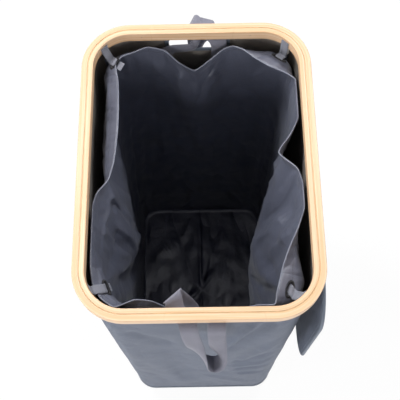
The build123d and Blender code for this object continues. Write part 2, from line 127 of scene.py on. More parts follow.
def tapered(shares, z, top, foot):
    """The outline of a tapering wall at height z."""
    return outline(shares, *taper_size((z - foot[3]) / (top[3] - foot[3]), top, foot))


def share_at(leg, along):
    """Share of the outline at X or Y along a side, or at a part, 0 to 1, of a corner."""
    if leg % 2 == 0:
        half = RIM_CENTRE_Y if leg in (RIGHT, LEFT) else RIM_CENTRE_X
        sign = 1 if leg in (RIGHT, FRONT) else -1
        along = (sign * along / half + 1) / 2
    return LEG_STARTS[leg] + along * (LEG_STARTS[leg + 1] - LEG_STARTS[leg])


def run_along(points):
    """Length of a path up to each of its points."""
    return np.concatenate([[0], np.cumsum(np.linalg.norm(np.diff(points, axis=0), axis=1))])


def run_down(grid):
    """Mean length down a grid to each of its rows."""
    steps = np.linalg.norm(np.diff(grid, axis=0), axis=2).mean(axis=1)
    return np.concatenate([[0], np.cumsum(steps)])


def through(knots, values, at, closed=False, tension=0.0):
    """A smooth curve through values at rising knots; a closed one repeats after 1."""
    knots, values, at = (np.asarray(given, float) for given in (knots, values, at))
    if closed:
        knots = np.concatenate([knots[-2:] - 1, knots, knots[:3] + 1])
        values = np.concatenate([values[-2:], values, values[:3]])
        at = np.where(at < knots[2], at + 1, at)
    shape = (-1,) + (1,) * (values.ndim - 1)
    steps = np.diff(knots)
    rises = np.diff(values, axis=0) / steps.reshape(shape)
    slopes = np.empty_like(values)
    slopes[0], slopes[-1] = rises[0], rises[-1]
    before = (steps[:-1] / (steps[:-1] + steps[1:])).reshape(shape)
    slopes[1:-1] = rises[:-1] * (1 - before) + rises[1:] * before
    slopes *= 1 - tension
    i = np.clip(np.searchsorted(knots, at, side="right") - 1, 0, len(knots) - 2)
    width = steps[i].reshape(shape)
    t = ((at - knots[i]) / steps[i]).reshape(shape)
    return (
        (2 * t**3 - 3 * t**2 + 1) * values[i]
        + (t**3 - 2 * t**2 + t) * width * slopes[i]
        + (3 * t**2 - 2 * t**3) * values[i + 1]
        + (t**3 - t**2) * width * slopes[i + 1]
    )


def smooth_knots(points):
    """Knots that keep a curve through unevenly spaced points from overshooting."""
    gaps = np.linalg.norm(np.diff(points, axis=0), axis=1) ** 0.5
    return np.concatenate([[0], np.cumsum(gaps)])


def path_through(points, count):
    """A smooth open path of evenly spaced points through some points in mm."""
    points = np.asarray(points, float) * MM
    knots = smooth_knots(points)
    fine = through(knots, points, np.linspace(0, knots[-1], 20 * len(points)))
    run = run_along(fine)
    at = np.linspace(0, run[-1], count)
    return np.stack([np.interp(at, run, fine[:, k]) for k in range(3)], axis=1)


def unit(vectors):
    """Vectors scaled to length 1."""
    length = np.linalg.norm(vectors, axis=-1, keepdims=True)
    return vectors / np.maximum(length, SHORTEST)


def smoothstep(x):
    """0 up to 0, 1 from 1 on, and a smooth rise between."""
    x = np.clip(x, 0, 1)
    return x * x * (3 - 2 * x)


def raised(points, height):
    """Points of a plan view at one height or at a height each."""
    return np.column_stack([points, np.broadcast_to(height, len(points))])


def ripple(points, size, seed):
    """Smooth noise, about -1 to 1, at points, with waves about as long as size."""
    flat = np.asarray(points, float).reshape(-1, 3) / size + seed
    found = [noise.noise(Vector(p)) for p in flat]
    return np.array(found).reshape(np.shape(points)[:-1]) * 1.6


# ---- Meshes ----


def add_object(name, data):
    """A new object in the scene."""
    made = bpy.data.objects.new(name, data)
    bpy.context.scene.collection.objects.link(made)
    return made


def new_piece(name, points, faces, uvs, material):
    """A smooth mesh object from points, faces and the faces' corner UVs in metres."""
    mesh = bpy.data.meshes.new(name)
    mesh.from_pydata([tuple(p) for p in points], [], [tuple(f) for f in faces])
    layer = mesh.uv_layers.new(name="Cloth")
    layer.data.foreach_set("uv", np.asarray(uvs, np.float32).ravel())
    mesh.polygons.foreach_set("use_smooth", [True] * len(mesh.polygons))
    mesh.materials.append(material)
    mesh.update()
    return add_object(name, mesh)


def grid_faces(rows, columns, wrap):
    """Quads of a grid whose rows run down and columns anticlockwise, and their UV indices."""
    across = columns if wrap else columns - 1
    r, c = (index.ravel() for index in np.indices((rows - 1, across)))

    def corners(wide, after):
        low, high = (r + 1) * wide, r * wide
        return np.stack([low + c, low + after, high + after, high + c], 1)

    return corners(columns, (c + 1) % columns), corners(across + 1, c + 1)


def grid_normals(grid, wrap):
    """Outward directions over a grid of points."""
    if wrap:
        along = np.roll(grid, -1, axis=1) - np.roll(grid, 1, axis=1)
    else:
        along = np.gradient(grid, axis=1)
    normals = unit(np.cross(along, -np.gradient(grid, axis=0)))
    for pole, beside in ((0, 1), (-1, -2)):
        if np.ptp(grid[pole], axis=0).max() < POLE:
            normals[pole] = unit(normals[beside].mean(axis=0))
    return normals


def grid_uvs(grid, wrap):
    """UVs of a grid in metres: along a row below its top, and down from its first row."""
    if wrap:
        grid = np.concatenate([grid, grid[:, :1]], axis=1)
    along = run_along(grid[len(grid) // 3])
    return np.stack(np.meshgrid(along, -run_down(grid)), axis=-1).reshape(-1, 2)


def shell(name, grid, thickness, material, wrap=True, keep=None, inside_material=None):
    """A closed cloth wall of some thickness round a grid of middle points."""
    faces, corners = grid_faces(*grid.shape[:2], wrap)
    flat = grid.reshape(-1, 3)
    if keep is not None:
        chosen = keep(flat[faces].mean(axis=1))
        faces, corners = faces[chosen], corners[chosen]
    offset = grid_normals(grid, wrap) * (np.asarray(thickness) / 2)
    points = np.concatenate([(grid + offset).reshape(-1, 3), (grid - offset).reshape(-1, 3)])
    inner = len(flat)
    edges = {}
    for face, corner in zip(faces.tolist(), corners.tolist()):
        for k in range(4):
            edges[face[k], face[(k + 1) % 4]] = (corner[k], corner[(k + 1) % 4])
    rim = [(a, b) for a, b in edges if (b, a) not in edges]
    rim = [(a, b) for a, b in rim if np.abs(flat[a] - flat[b]).max() > POLE]
    rim_faces = np.array([(b, a, a + inner, b + inner) for a, b in rim], int).reshape(-1, 4)
    rim_corners = np.array([(*edges[e][::-1], *edges[e]) for e in rim], int).reshape(-1, 4)
    every = np.concatenate([faces, faces[:, ::-1] + inner, rim_faces])
    every_corner = np.concatenate([corners, corners[:, ::-1], rim_corners])
    used, index = np.unique(every, return_inverse=True)
    uvs = grid_uvs(grid, wrap)[every_corner]
    piece = new_piece(name, points[used], index.reshape(every.shape), uvs, material)
    if inside_material:
        piece.data.materials.append(inside_material)
        sides = np.zeros(len(every), int)
        sides[len(faces) : 2 * len(faces)] = 1
        piece.data.polygons.foreach_set("material_index", sides)
    merge_points(piece)
    return piece


def straight_threads(piece, chosen, first, second, material=0):
    """Let a piece's chosen faces lie with their threads straight along two of the axes."""
    mesh = piece.data
    threads = mesh.uv_layers["Cloth"].data
    for face in mesh.polygons:
        if chosen(face):
            face.material_index = material
            for loop in face.loop_indices:
                spot = mesh.vertices[mesh.loops[loop].vertex_index].co
                threads[loop].uv = (spot[first], spot[second])


def merge_points(piece):
    """Close poles, where a grid's points coincide."""
    mesh = bmesh.new()
    mesh.from_mesh(piece.data)
    bmesh.ops.remove_doubles(mesh, verts=mesh.verts, dist=MERGED)
    mesh.to_mesh(piece.data)
    mesh.free()


def sweep(name, spine, across, profile, material, closed=False):
    """A profile of (along across, along the face's direction) swept along a spine of points."""
    if closed:
        ahead = unit(np.roll(spine, -1, axis=0) - np.roll(spine, 1, axis=0))
    else:
        ahead = unit(np.gradient(spine, axis=0))
    across = unit(np.broadcast_to(across, spine.shape))
    square = across - ahead * (across * ahead).sum(axis=1, keepdims=True)
    facing = unit(np.cross(ahead, square))
    across = across / np.maximum(np.linalg.norm(square, axis=1, keepdims=True), 0.6)
    profile = np.asarray(profile, float)
    rings = spine[:, None] + across[:, None] * profile[:, :1] + facing[:, None] * profile[:, 1:]
    count, sides = rings.shape[:2]
    run = run_along(np.concatenate([spine, spine[:1]]))
    girth = run_along(np.concatenate([profile, profile[:1]]))
    faces, uvs = [], []
    for i in range(count if closed else count - 1):
        j = (i + 1) % count
        for k in range(sides):
            m = (k + 1) % sides
            faces.append((i * sides + k, i * sides + m, j * sides + m, j * sides + k))
            uvs += [(run[a], girth[b]) for a, b in ((i, k), (i, k + 1), (i + 1, k + 1), (i + 1, k))]
    if not closed:
        for ring, order in ((0, -1), (count - 1, 1)):
            faces.append([ring * sides + k for k in range(sides)][::order])
            uvs += [(run[ring] + p[1], p[0]) for p in profile[::order]]
    return new_piece(name, rings.reshape(-1, 3), faces, uvs, material)


def section_in_mm(corners):
    """A section given clockwise in mm, turned to run anticlockwise."""
    return [(a * MM, -b * MM) for a, b in corners][::-1]


def band_profile(width, thickness):
    """The section of a flat woven band with soft edges, anticlockwise."""
    half, deep = width / 2, thickness / 2
    half_way = [
        (half - deep * (1 - math.cos(a)), deep * math.sin(a)) for a in np.linspace(-1.3, 1.3, 5)
    ] + [(half * s, deep) for s in (0.6, 0.2, -0.2, -0.6)]
    return half_way + [(-x, -y) for x, y in half_way]


def round_profile(radius, sides):
    """A circle, anticlockwise."""
    return [(radius * math.cos(a), radius * math.sin(a)) for a in np.arange(sides) * TURN / sides]


def dress(piece, body, slot, *nodes):
    """Put a piece on its body and hide the solids it stands for; its slot is not used."""
    if body:
        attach(piece, body)
    if nodes:
        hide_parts(*nodes)


CLOTH_SETTINGS = {
    "quality": 6,
    "mass": 0.12,
    "tension_stiffness": 25,
    "compression_stiffness": 25,
    "shear_stiffness": 12,
    "bending_stiffness": 0.35,
    "air_damping": 2,
    "vertex_group_mass": "pins",
    "pin_stiffness": 1,
}
SETTLE_STEPS = 26
SETTLE_GRAVITY = 0.6
PIN_LEVELS = 50


def settle(grid, pins, growth):
    """Let a bag of cloth settle between its pinned points, and give its points back."""
    mesh = bpy.data.meshes.new("settling")
    faces, _ = grid_faces(*grid.shape[:2], True)
    mesh.from_pydata(grid.reshape(-1, 3).tolist(), [], faces.tolist())
    cloth = add_object("settling", mesh)
    group = cloth.vertex_groups.new(name="pins")
    levels = np.round(pins.ravel() * PIN_LEVELS) / PIN_LEVELS
    for level in np.unique(levels):
        group.add(np.flatnonzero(levels == level).tolist(), float(level), "REPLACE")
    modifier = cloth.modifiers.new("cloth", "CLOTH")
    for name, value in CLOTH_SETTINGS.items():
        setattr(modifier.settings, name, value)
    modifier.settings.shrink_min = -growth
    modifier.settings.effector_weights.gravity = SETTLE_GRAVITY
    modifier.collision_settings.use_collision = False
    for step in range(1, SETTLE_STEPS + 1):
        bpy.context.scene.frame_set(step)
    settled = cloth.evaluated_get(bpy.context.evaluated_depsgraph_get())
    points = np.zeros(grid.size)
    settled.data.vertices.foreach_get("co", points)
    bpy.data.objects.remove(cloth)
    bpy.data.meshes.remove(mesh)
    bpy.context.scene.frame_set(1)
    return points.reshape(grid.shape)


# ---- Finishes ----


def linear(code):
    """A colour such as #6f7a88 as scene-linear red, green and blue."""
    levels = [int(code[i : i + 2], 16) / 255 for i in (1, 3, 5)]
    return tuple(c / 12.92 if c <= 0.04045 else ((c + 0.055) / 1.055) ** 2.4 for c in levels)


def shade(colour, factor, lift=0.0):
    """A colour made darker or paler."""
    return tuple(min(1.0, c * factor + lift) for c in colour)


def tint(name):
    """A colour of the settings."""
    return tuple(getattr(bpy.context.scene.hamper_colours, name))


class Signal:
    """A node's output, on which plain arithmetic adds the nodes that work it out."""

    def __init__(self, shading, socket):
        self.shading = shading
        self.socket = socket

    def math(self, operation, other=0.0):
        """What a Math node makes of this and another value."""
        return self.shading.add("ShaderNodeMath", {0: self, 1: other}, operation=operation)

    def __add__(self, other):
        return self.math("ADD", other)

    def __mul__(self, other):
        return self.math("MULTIPLY", other)

    def __sub__(self, other):
        return self.math("SUBTRACT", other)

    def __rsub__(self, other):
        return self * -1.0 + other

    def __abs__(self):
        return self.math("ABSOLUTE")

    def span(self, low, high, to_low=0.0, to_high=1.0):
        """The range from low to high stretched to another range, and held there."""
        inputs = {"Value": self, 1: low, 2: high, 3: to_low, 4: to_high}
        return self.shading.add("ShaderNodeMapRange", inputs, clamp=True)

    def times(self, factors):
        """A vector multiplied along each axis."""
        return self.shading.add("ShaderNodeVectorMath", {0: self, 1: factors}, operation="MULTIPLY")

    def axes(self):
        """A vector's X, Y and Z."""
        split = self.shading.parts("ShaderNodeSeparateXYZ", {0: self})
        return [split[axis] for axis in "XYZ"]


class Shading:
    """A node tree that is linked up while it is written."""

    def __init__(self, tree):
        self.tree = tree
        self.tree.nodes.clear()

    def node(self, kind, inputs=None, **settings):
        """A node with its settings and its inputs, which are values or signals."""
        node = self.tree.nodes.new(kind)
        for name, value in settings.items():
            setattr(node, name, value)
        for name, value in (inputs or {}).items():
            socket = node.inputs[name]
            if isinstance(value, Signal):
                self.tree.links.new(value.socket, socket)
            else:
                socket.default_value = (*value, 1) if socket.type == "RGBA" else value
        return node

    def add(self, kind, inputs=None, out=0, **settings):
        """A node's one output that matters."""
        return Signal(self, self.node(kind, inputs, **settings).outputs[out])

    def parts(self, kind, inputs=None, **settings):
        """All of a node's outputs by name."""
        outputs = self.node(kind, inputs, **settings).outputs
        return {output.name: Signal(self, output) for output in outputs}

    def vector(self, x, y, z):
        """A vector from its X, Y and Z."""
        return self.add("ShaderNodeCombineXYZ", {0: x, 1: y, 2: z})

    def noise(self, vector, scale, detail=3.0, roughness=0.5, w=None):
        """Noise read at a vector, in four dimensions where W is given."""
        inputs = {"Vector": vector, "Scale": scale, "Detail": detail, "Roughness": roughness}
        if w is None:
            return self.add("ShaderNodeTexNoise", inputs, "Fac")
        return self.add("ShaderNodeTexNoise", {**inputs, "W": w}, "Fac", noise_dimensions="4D")

    def patches(self, vector, scale, detail, roughness, low, high, most):
        """Scattered patches, from none to most."""
        return self.noise(vector, scale, detail, roughness).span(low, high, 0.0, most)

    def mix(self, share, a, b):
        """Two colours mixed."""
        return self.add("ShaderNodeMix", {0: share, 6: a, 7: b}, 2, data_type="RGBA")

    def bump(self, height, distance, strength=1.0, **more):
        """The surface's direction where a height raises it by up to a distance."""
        inputs = {"Height": height, "Distance": distance, "Strength": strength, **more}
        return self.add("ShaderNodeBump", inputs)

    def threads(self):
        """Where a pattern is read on cloth: in metres along its threads."""
        return self.add("ShaderNodeUVMap", uv_map="Cloth")

    def spot(self):
        """Where a pattern is read on a solid: its own place."""
        return self.add("ShaderNodeTexCoord", out="Object")

    def finish(self, **inputs):
        """The surface itself, and the tree's end."""
        named = {name.replace("_", " "): value for name, value in inputs.items()}
        self.node("ShaderNodeOutputMaterial", {0: self.add("ShaderNodeBsdfPrincipled", named)})


def new_material(name):
    """An empty material and its shading."""
    material = bpy.data.materials.new(name)
    material.use_nodes = True
    return material, Shading(material.node_tree)


def new_group(name, kind, inputs, outputs):
    """A node group, the signals that come into it by name, and its shading."""
    tree = bpy.data.node_groups.new(name, kind)
    for way, sockets in (("INPUT", inputs), ("OUTPUT", outputs)):
        for label, socket_kind in sockets.items():
            socket_type = "NodeSocket" + socket_kind.replace("Length", "Float")
            socket = tree.interface.new_socket(label, in_out=way, socket_type=socket_type)
            if socket_kind == "Length":
                socket.subtype = "DISTANCE"
    s = Shading(tree)
    return tree, s.parts("NodeGroupInput"), s


def weave_group():
    """Plain weave: threads that pass over and under each other, as Height and Over."""
    sockets = {"Vector": "Vector", "Threads": "Float"}
    outputs = {"Height": "Float", "Over": "Float"}
    tree, given, s = new_group("plain_weave", "ShaderNodeTree", sockets, outputs)
    half = given["Threads"] * math.pi
    warp, weft = ((axis * half).math("SINE") for axis in given["Vector"].axes()[:2])
    over = (warp * weft).math("GREATER_THAN")
    warp_round, weft_round = (abs(wave).math("POWER", 0.6) for wave in (warp, weft))
    height = over * weft_round + (1.0 - over) * warp_round
    s.node("NodeGroupOutput", {"Height": height, "Over": over})
    return tree


def cloth_finish(
    name, colour, threads, relief, roughness, sheen, fleck=0.12, crumple=0.6, gloss=0.4
):
    """Woven cloth: threads, slubs, flecks of lighter yarn, soft crumpling and handling wear."""
    material, s = new_material(name)
    vector = s.threads()
    tree = bpy.data.node_groups.get("plain_weave") or weave_group()
    weave = s.parts("ShaderNodeGroup", {"Vector": vector, "Threads": threads}, node_tree=tree)
    height, over = weave["Height"], weave["Over"]
    long, short, deep = threads * 0.9, threads * 0.06, threads * 0.3
    yarn = s.noise(vector.times((long, short, deep)), 1.0, 2.0)
    cross = s.noise(vector.times((short, long, deep)), 1.0, 2.0)
    streak = (yarn + cross) * 0.5
    cloudy = s.noise(vector, 9.0, 4.0, 0.6)
    rub = s.patches(vector, 34.0, 5.0, 0.62, 0.58, 0.78, 0.35)
    dark, pale = shade(colour, 0.78), shade(colour, 1.18, 0.004)
    base = s.mix(height.span(0.0, 1.0, 0.35), dark, colour)
    base = s.mix(streak.span(0.5, 0.72, 0.0, fleck * 4), base, pale)
    base = s.mix(cloudy.span(0.35, 0.7, 0.0, 0.45), base, dark)
    base = s.mix(over * 0.10, base, pale)
    base = s.mix(rub, base, pale)
    crease = abs(s.noise(vector.times((1.0, 0.45, 1.0)), 9.0, 2.5) - 0.5)
    soft = s.noise(vector, 26.0, 3.0, 0.55) + crease.span(0.0, 0.12) * 1.6
    normal = s.bump(soft, 3.0 * MM, crumple)
    s.finish(
        Base_Color=base,
        Roughness=(cloudy + rub).span(0.3, 0.9, roughness + 0.08, roughness - 0.06),
        Normal=s.bump(height + streak * 0.6, relief, 0.9, Normal=normal),
        Specular_IOR_Level=gloss,
        Sheen_Weight=sheen,
        Sheen_Roughness=0.4,
    )
    return material


def webbing_finish(name, colour, rib, relief, roughness, sheen):
    """Flat woven tape: ribs across, yarns along, darker edges of the ribs and a little fuzz."""
    material, s = new_material(name)
    vector = s.threads()
    along, beside, _ = vector.axes()
    zigzag = (beside * 250.0).math("PINGPONG", 1.0)
    ridge = abs(((along * rib + zigzag * 0.9) * math.pi).math("SINE")).math("POWER", 0.7)
    yarn = abs((beside * (math.pi * 1100)).math("SINE"))
    fuzz = s.noise(vector.times((900.0, 2600.0, 900.0)), 1.0)
    patch = s.noise(vector, 30.0)
    dark = shade(colour, 0.6)
    base = s.mix(ridge.span(0.0, 0.9), dark, colour)
    base = s.mix(fuzz.span(0.5, 0.75, 0.0, 0.6), base, shade(colour, 1.25))
    base = s.mix(patch.span(0.4, 0.7, 0.0, 0.3), base, dark)
    s.finish(
        Base_Color=base,
        Roughness=patch.span(0.3, 0.7, roughness, roughness + 0.12),
        Normal=s.bump(ridge + yarn * 0.35 + fuzz * 0.4, relief),
        Specular_IOR_Level=0.35,
        Sheen_Weight=sheen,
        Sheen_Roughness=0.35,
    )
    return material


def bamboo_finish(name, face, seed):
    """Bent bamboo strip: fine fibres along the hoop, knots across it, a lacquered skin."""
    material, s = new_material(name)
    edge, stripe = tint("bamboo_edge"), tint("bamboo_stripe")
    vector = s.spot()
    x, y, z = vector.axes()
    beyond_x, beyond_y = abs(x) - RIM_CENTRE_X, abs(y) - RIM_CENTRE_Y
    outside = s.vector(beyond_x.math("MAXIMUM"), beyond_y.math("MAXIMUM"), 0.0)
    reach = s.add("ShaderNodeVectorMath", {0: outside}, "Value", operation="LENGTH")
    inside = beyond_x.math("MAXIMUM", beyond_y).math("MINIMUM")
    depth = RIM_RADIUS - (reach + inside)
    around = y.math("ARCTAN2", x)
    run_x, run_y = (around.math(wave) * 0.9 for wave in ("COSINE", "SINE"))
    fibres = s.vector(depth * 1300.0 + seed, z * 1300.0, run_x)
    grain = s.noise(fibres, 1.0, 4.0, 0.6, run_y)
    band = s.noise(fibres.times((0.23, 0.23, 2.0)), 1.0, 2.0, 0.5, run_y)
    wobble = s.noise(vector, 40.0, 1.0) * 0.02
    knot = (around * (11.0 / TURN) + wobble + seed).math("PINGPONG", 0.5)
    knot = knot.span(0.0, 0.006, 1.0, 0.0)
    worn = s.patches(vector, 55.0, 4.0, 0.65, 0.6, 0.8, 0.35)
    base = s.mix(band.span(0.35, 0.65), face, edge)
    base = s.mix(grain.span(0.45, 0.72, 0.0, 0.75), base, stripe)
    base = s.mix(knot * 0.15, base, shade(stripe, 0.5))
    base = s.mix(worn, base, shade(face, 1.08))
    s.finish(
        Base_Color=base,
        Roughness=(grain + worn).span(0.3, 0.9, 0.38, 0.52),
        Normal=s.bump(grain + knot * 0.5, 0.12 * MM, 0.8),
        Specular_IOR_Level=0.4,
        Coat_Weight=0.12,
        Coat_Roughness=0.3,
    )
    return material


def board_finish(name, colour):
    """Pressed board: short fibres, specks and a scuffed surface."""
    material, s = new_material(name)
    vector = s.spot()
    fibre = s.noise(vector.times((420.0, 1500.0, 1500.0)), 1.0, 4.0, 0.6)
    speck = s.patches(vector, 700.0, 2.0, 0.5, 0.62, 0.72, 0.6)
    scuff = s.patches(vector, 22.0, 5.0, 0.65, 0.5, 0.75, 0.5)
    base = s.mix(fibre.span(0.3, 0.7), shade(colour, 0.8), colour)
    base = s.mix(speck, base, shade(colour, 0.45))
    base = s.mix(scuff, base, shade(colour, 1.15))
    normal = s.bump(fibre, 0.15 * MM)
    s.finish(Base_Color=base, Roughness=scuff.span(0, 0.5, 0.9, 0.75), Normal=normal)
    return material


def plastic_finish(name, colour):
    """Moulded plastic: a fine spark-eroded grain, flow marks and rubbed edges."""
    material, s = new_material(name)
    vector = s.spot()
    pits = s.noise(vector, 2600.0, 3.0, 0.6)
    flow = s.noise(vector.times((60.0, 60.0, 18.0)), 1.0)
    base = s.mix(flow.span(0.3, 0.7), colour, shade(colour, 0.86))
    normal = s.bump(pits, 0.03 * MM)
    s.finish(Base_Color=base, Roughness=pits.span(0.3, 0.7, 0.36, 0.5), Normal=normal)
    return material


def steel_finish(name, colour, roughness):
    """Drawn steel: fine lines along it, faint spots and handling haze."""
    material, s = new_material(name)
    vector = s.spot()
    lines = s.noise(vector.times((5200.0, 5200.0, 90.0)), 1.0)
    haze = s.noise(vector, 45.0, 4.0, 0.6)
    s.finish(
        Base_Color=s.mix(haze.span(0.4, 0.75, 0.0, 0.6), colour, shade(colour, 0.6)),
        Metallic=1.0,
        Roughness=haze.span(0.3, 0.7, roughness, roughness + 0.15),
        Normal=s.bump(lines, 0.02 * MM),
    )
    return material


def thread_finish(name, colour):
    """Twisted sewing thread with a soft shine."""
    material, s = new_material(name)
    twist = s.noise(s.spot(), 5000.0, 2.0)
    base = s.mix(twist.span(0.35, 0.65), shade(colour, 0.7), colour)
    normal = s.bump(twist, 0.06 * MM)
    s.finish(Base_Color=base, Roughness=twist.span(0.3, 0.7, 0.45, 0.65), Normal=normal)
    return material


# Each finish: how it is made, its colour in the settings, that colour's shade, and its details.
LINER_DETAILS = (2100.0, 0.06 * MM, 0.36, 0.08, 0.08, 0.8, 0.9)
FINISHES = {
    "bamboo_outer": (bamboo_finish, "bamboo", 1, 3.1),
    "bamboo_inner": (bamboo_finish, "bamboo", 1, 8.7),
    "brad_steel": (steel_finish, "steel", 1, 0.35),
    "rod_steel": (steel_finish, "steel", 0.35, 0.42),
    "glue": (plastic_finish, "glue", 1),
    "cap_plastic": (plastic_finish, "plastic", 1),
    "fibreboard": (board_finish, "board", 1),
    "greyboard": (board_finish, "board", 1),
    "body_cloth": (cloth_finish, "body", 1, 1250.0, 0.16 * MM, 0.58, 0.08),
    # The body cloth's inside: painted light and shade for the gaps under the rim.
    "body_backing": (cloth_finish, "backing", 1, 900.0, 0.1 * MM, 0.7, 0.1),
    "liner_cloth": (cloth_finish, "liner", 1, *LINER_DETAILS),
    # The liner's floor takes painted shade: the liner's colour made darker and bluer, standing in
    # for the little light that reaches it.
    "liner_base_cloth": (cloth_finish, "liner", (0.42, 0.42, 0.55), *LINER_DETAILS),
    "edge_tape": (webbing_finish, "tape", 1, 900.0, 0.12 * MM, 0.6, 0.2),
    "tab_tape": (webbing_finish, "tab", 1, 900.0, 0.1 * MM, 0.6, 0.3),
    "webbing": (webbing_finish, "webbing", 1, 520.0, 0.22 * MM, 0.5, 0.3),
    "sewing_thread": (thread_finish, "thread", 1),
    "liner_thread": (thread_finish, "liner_thread", 1),
    # The slots' thread is near black as painted shade for the dark of the slots' openings.
    "slot_thread": (thread_finish, "slot_thread", 1),
}


def finish(name):
    """A finish by name, made the first time that a piece needs it."""
    make, colour, shades, *details = FINISHES[name]
    colour = tuple(np.array(tint(colour)) * shades)
    return bpy.data.materials.get("hamper_" + name) or make("hamper_" + name, colour, *details)


def give_finish(name, *nodes):
    """A finish for solids whose own shape stays."""
    for node in nodes:
        NODES[node].data.materials.clear()
        NODES[node].data.materials.append(finish(name))


# ---- Stitching, by Geometry Nodes ----


def stitch_tree():
    """Geometry Nodes that lay rounded stitches end to end along every path of a mesh."""
    made = bpy.data.node_groups.get("stitches_along_paths")
    if made:
        return made
    inputs = {"Paths": "Geometry", "Pitch": "Length", "Stitch Length": "Length"}
    inputs.update({"Thread Radius": "Length", "Thread": "Material"})
    name = "stitches_along_paths"
    tree, given, s = new_group(name, "GeometryNodeTree", inputs, {"Stitches": "Geometry"})
    curve = s.add("GeometryNodeMeshToCurve", {"Mesh": given["Paths"]})
    inputs = {"Curve": curve, "Length": given["Pitch"]}
    even = s.add("GeometryNodeResampleCurve", inputs, mode="LENGTH")
    spots = s.parts("GeometryNodeCurveToPoints", {"Curve": even}, mode="EVALUATED")
    ball = s.add("GeometryNodeMeshUVSphere", {"Segments": 6, "Rings": 4, "Radius": 1.0})
    radius = given["Thread Radius"]
    size = s.vector(radius, radius, given["Stitch Length"] * 0.5)
    stitch = s.add("GeometryNodeTransform", {"Geometry": ball, "Scale": size})
    stitch = s.add("GeometryNodeSetShadeSmooth", {"Geometry": stitch})
    turned = s.add("FunctionNodeAlignRotationToVector", {"Vector": spots["Tangent"]}, axis="Z")
    inputs = {"Points": spots["Points"], "Instance": stitch, "Rotation": turned}
    laid = s.add("GeometryNodeRealizeInstances", {0: s.add("GeometryNodeInstanceOnPoints", inputs)})
    inputs = {"Geometry": laid, "Material": given["Thread"]}
    s.node("NodeGroupOutput", {0: s.add("GeometryNodeSetMaterial", inputs)})
    return tree


def stitches(name, paths, pitch, length, radius, thread):
    """One mesh of stitches along several paths; each is points and whether it closes."""
    points, edges = [], []
    for path, closed in paths:
        start, count = len(points), len(path)
        points += [tuple(p) for p in path]
        edges += [(start + i, start + i + 1) for i in range(count - 1)]
        if closed:
            edges.append((start + count - 1, start))
    mesh = bpy.data.meshes.new("paths")
    mesh.from_pydata(points, edges, [])
    holder = add_object("paths", mesh)
    modifier = holder.modifiers.new("stitches", "NODES")
    modifier.node_group = stitch_tree()
    values = {"Pitch": pitch, "Stitch Length": length, "Thread Radius": radius}
    values["Thread"] = finish(thread)
    for item in modifier.node_group.interface.items_tree:
        if item.name in values:
            modifier[item.identifier] = values[item.name]
    evaluated = holder.evaluated_get(bpy.context.evaluated_depsgraph_get())
    result = bpy.data.meshes.new_from_object(evaluated)
    result.name = name
    bpy.data.objects.remove(holder)
    return add_object(name, result)


def sewn(name, paths, body, slot="body_cloth", thread="sewing_thread"):
    """Stitches in the hamper's own stitch, riding on a body."""
    sizes = bpy.context.scene.hamper_sizes
    sizes = (sizes.stitch_pitch, sizes.stitch_length, sizes.thread_radius)
    dress(stitches(name, paths, *sizes, thread), body, slot)


def on_grid(grid, rows, columns, lift):
    """Points lifted off a closed grid at rows and columns that may be fractions."""
    height, width = grid.shape[:2]
    rows = np.clip(np.asarray(rows, float), 0, height - 1.001)
    columns = np.asarray(columns, float) % width
    r, c = rows.astype(int), columns.astype(int)
    a, b = (rows - r)[:, None], (columns - c)[:, None]
    after = (c + 1) % width
    lifted = grid + grid_normals(grid, True) * lift
    return (
        lifted[r, c] * (1 - a) * (1 - b)
        + lifted[r, after] * (1 - a) * b
        + lifted[r + 1, c] * a * (1 - b)
        + lifted[r + 1, after] * a * b
    )


# ---- Sizes and colours ----


def length_setting(name, description, millimetres):
    """A length that the user can set."""
    return bpy.props.FloatProperty(
        name=name,
        description=description,
        default=millimetres * MM,
        min=0.0,
        precision=5,
        subtype="DISTANCE",
        unit="LENGTH",
    )


def colour_setting(name, description, code):
    """A colour that the user can set."""
    return bpy.props.FloatVectorProperty(
        name=name,
        description=description,
        default=linear(code),
        size=3,
        min=0.0,
        max=1.0,
        subtype="COLOR",
    )


class HamperSizes(bpy.types.PropertyGroup):
    """Sizes that a user would change"""

    cloth_thickness: length_setting("Body Cloth", "Thickness of the body cloth", 0.8)
    liner_thickness: length_setting("Liner Cloth", "Thickness of the liner cloth", 0.9)
    hem_depth: length_setting("Hem", "Depth of the liner's turned hem", 12)
    strap_width: length_setting("Strap Width", "Width of the handles' webbing", 24)
    strap_thickness: length_setting("Strap Thickness", "Thickness of the handles' webbing", 1.8)
    edging_width: length_setting("Edging", "Width of the tape round the hand-holes", 6)
    piping_radius: length_setting("Piping", "Radius of the lid's piping", 2.3)
    stitch_pitch: length_setting("Stitch Pitch", "Distance from stitch to stitch", 3.6)
    stitch_length: length_setting("Stitch Length", "Length of one stitch", 2.7)
    thread_radius: length_setting("Thread", "Radius of the sewing thread", 0.34)
    liner_growth: bpy.props.FloatProperty(
        name="Liner Slack",
        description="How much spare cloth the liner has",
        default=0.02,
        min=0.0,
        max=0.2,
        subtype="FACTOR",
    )


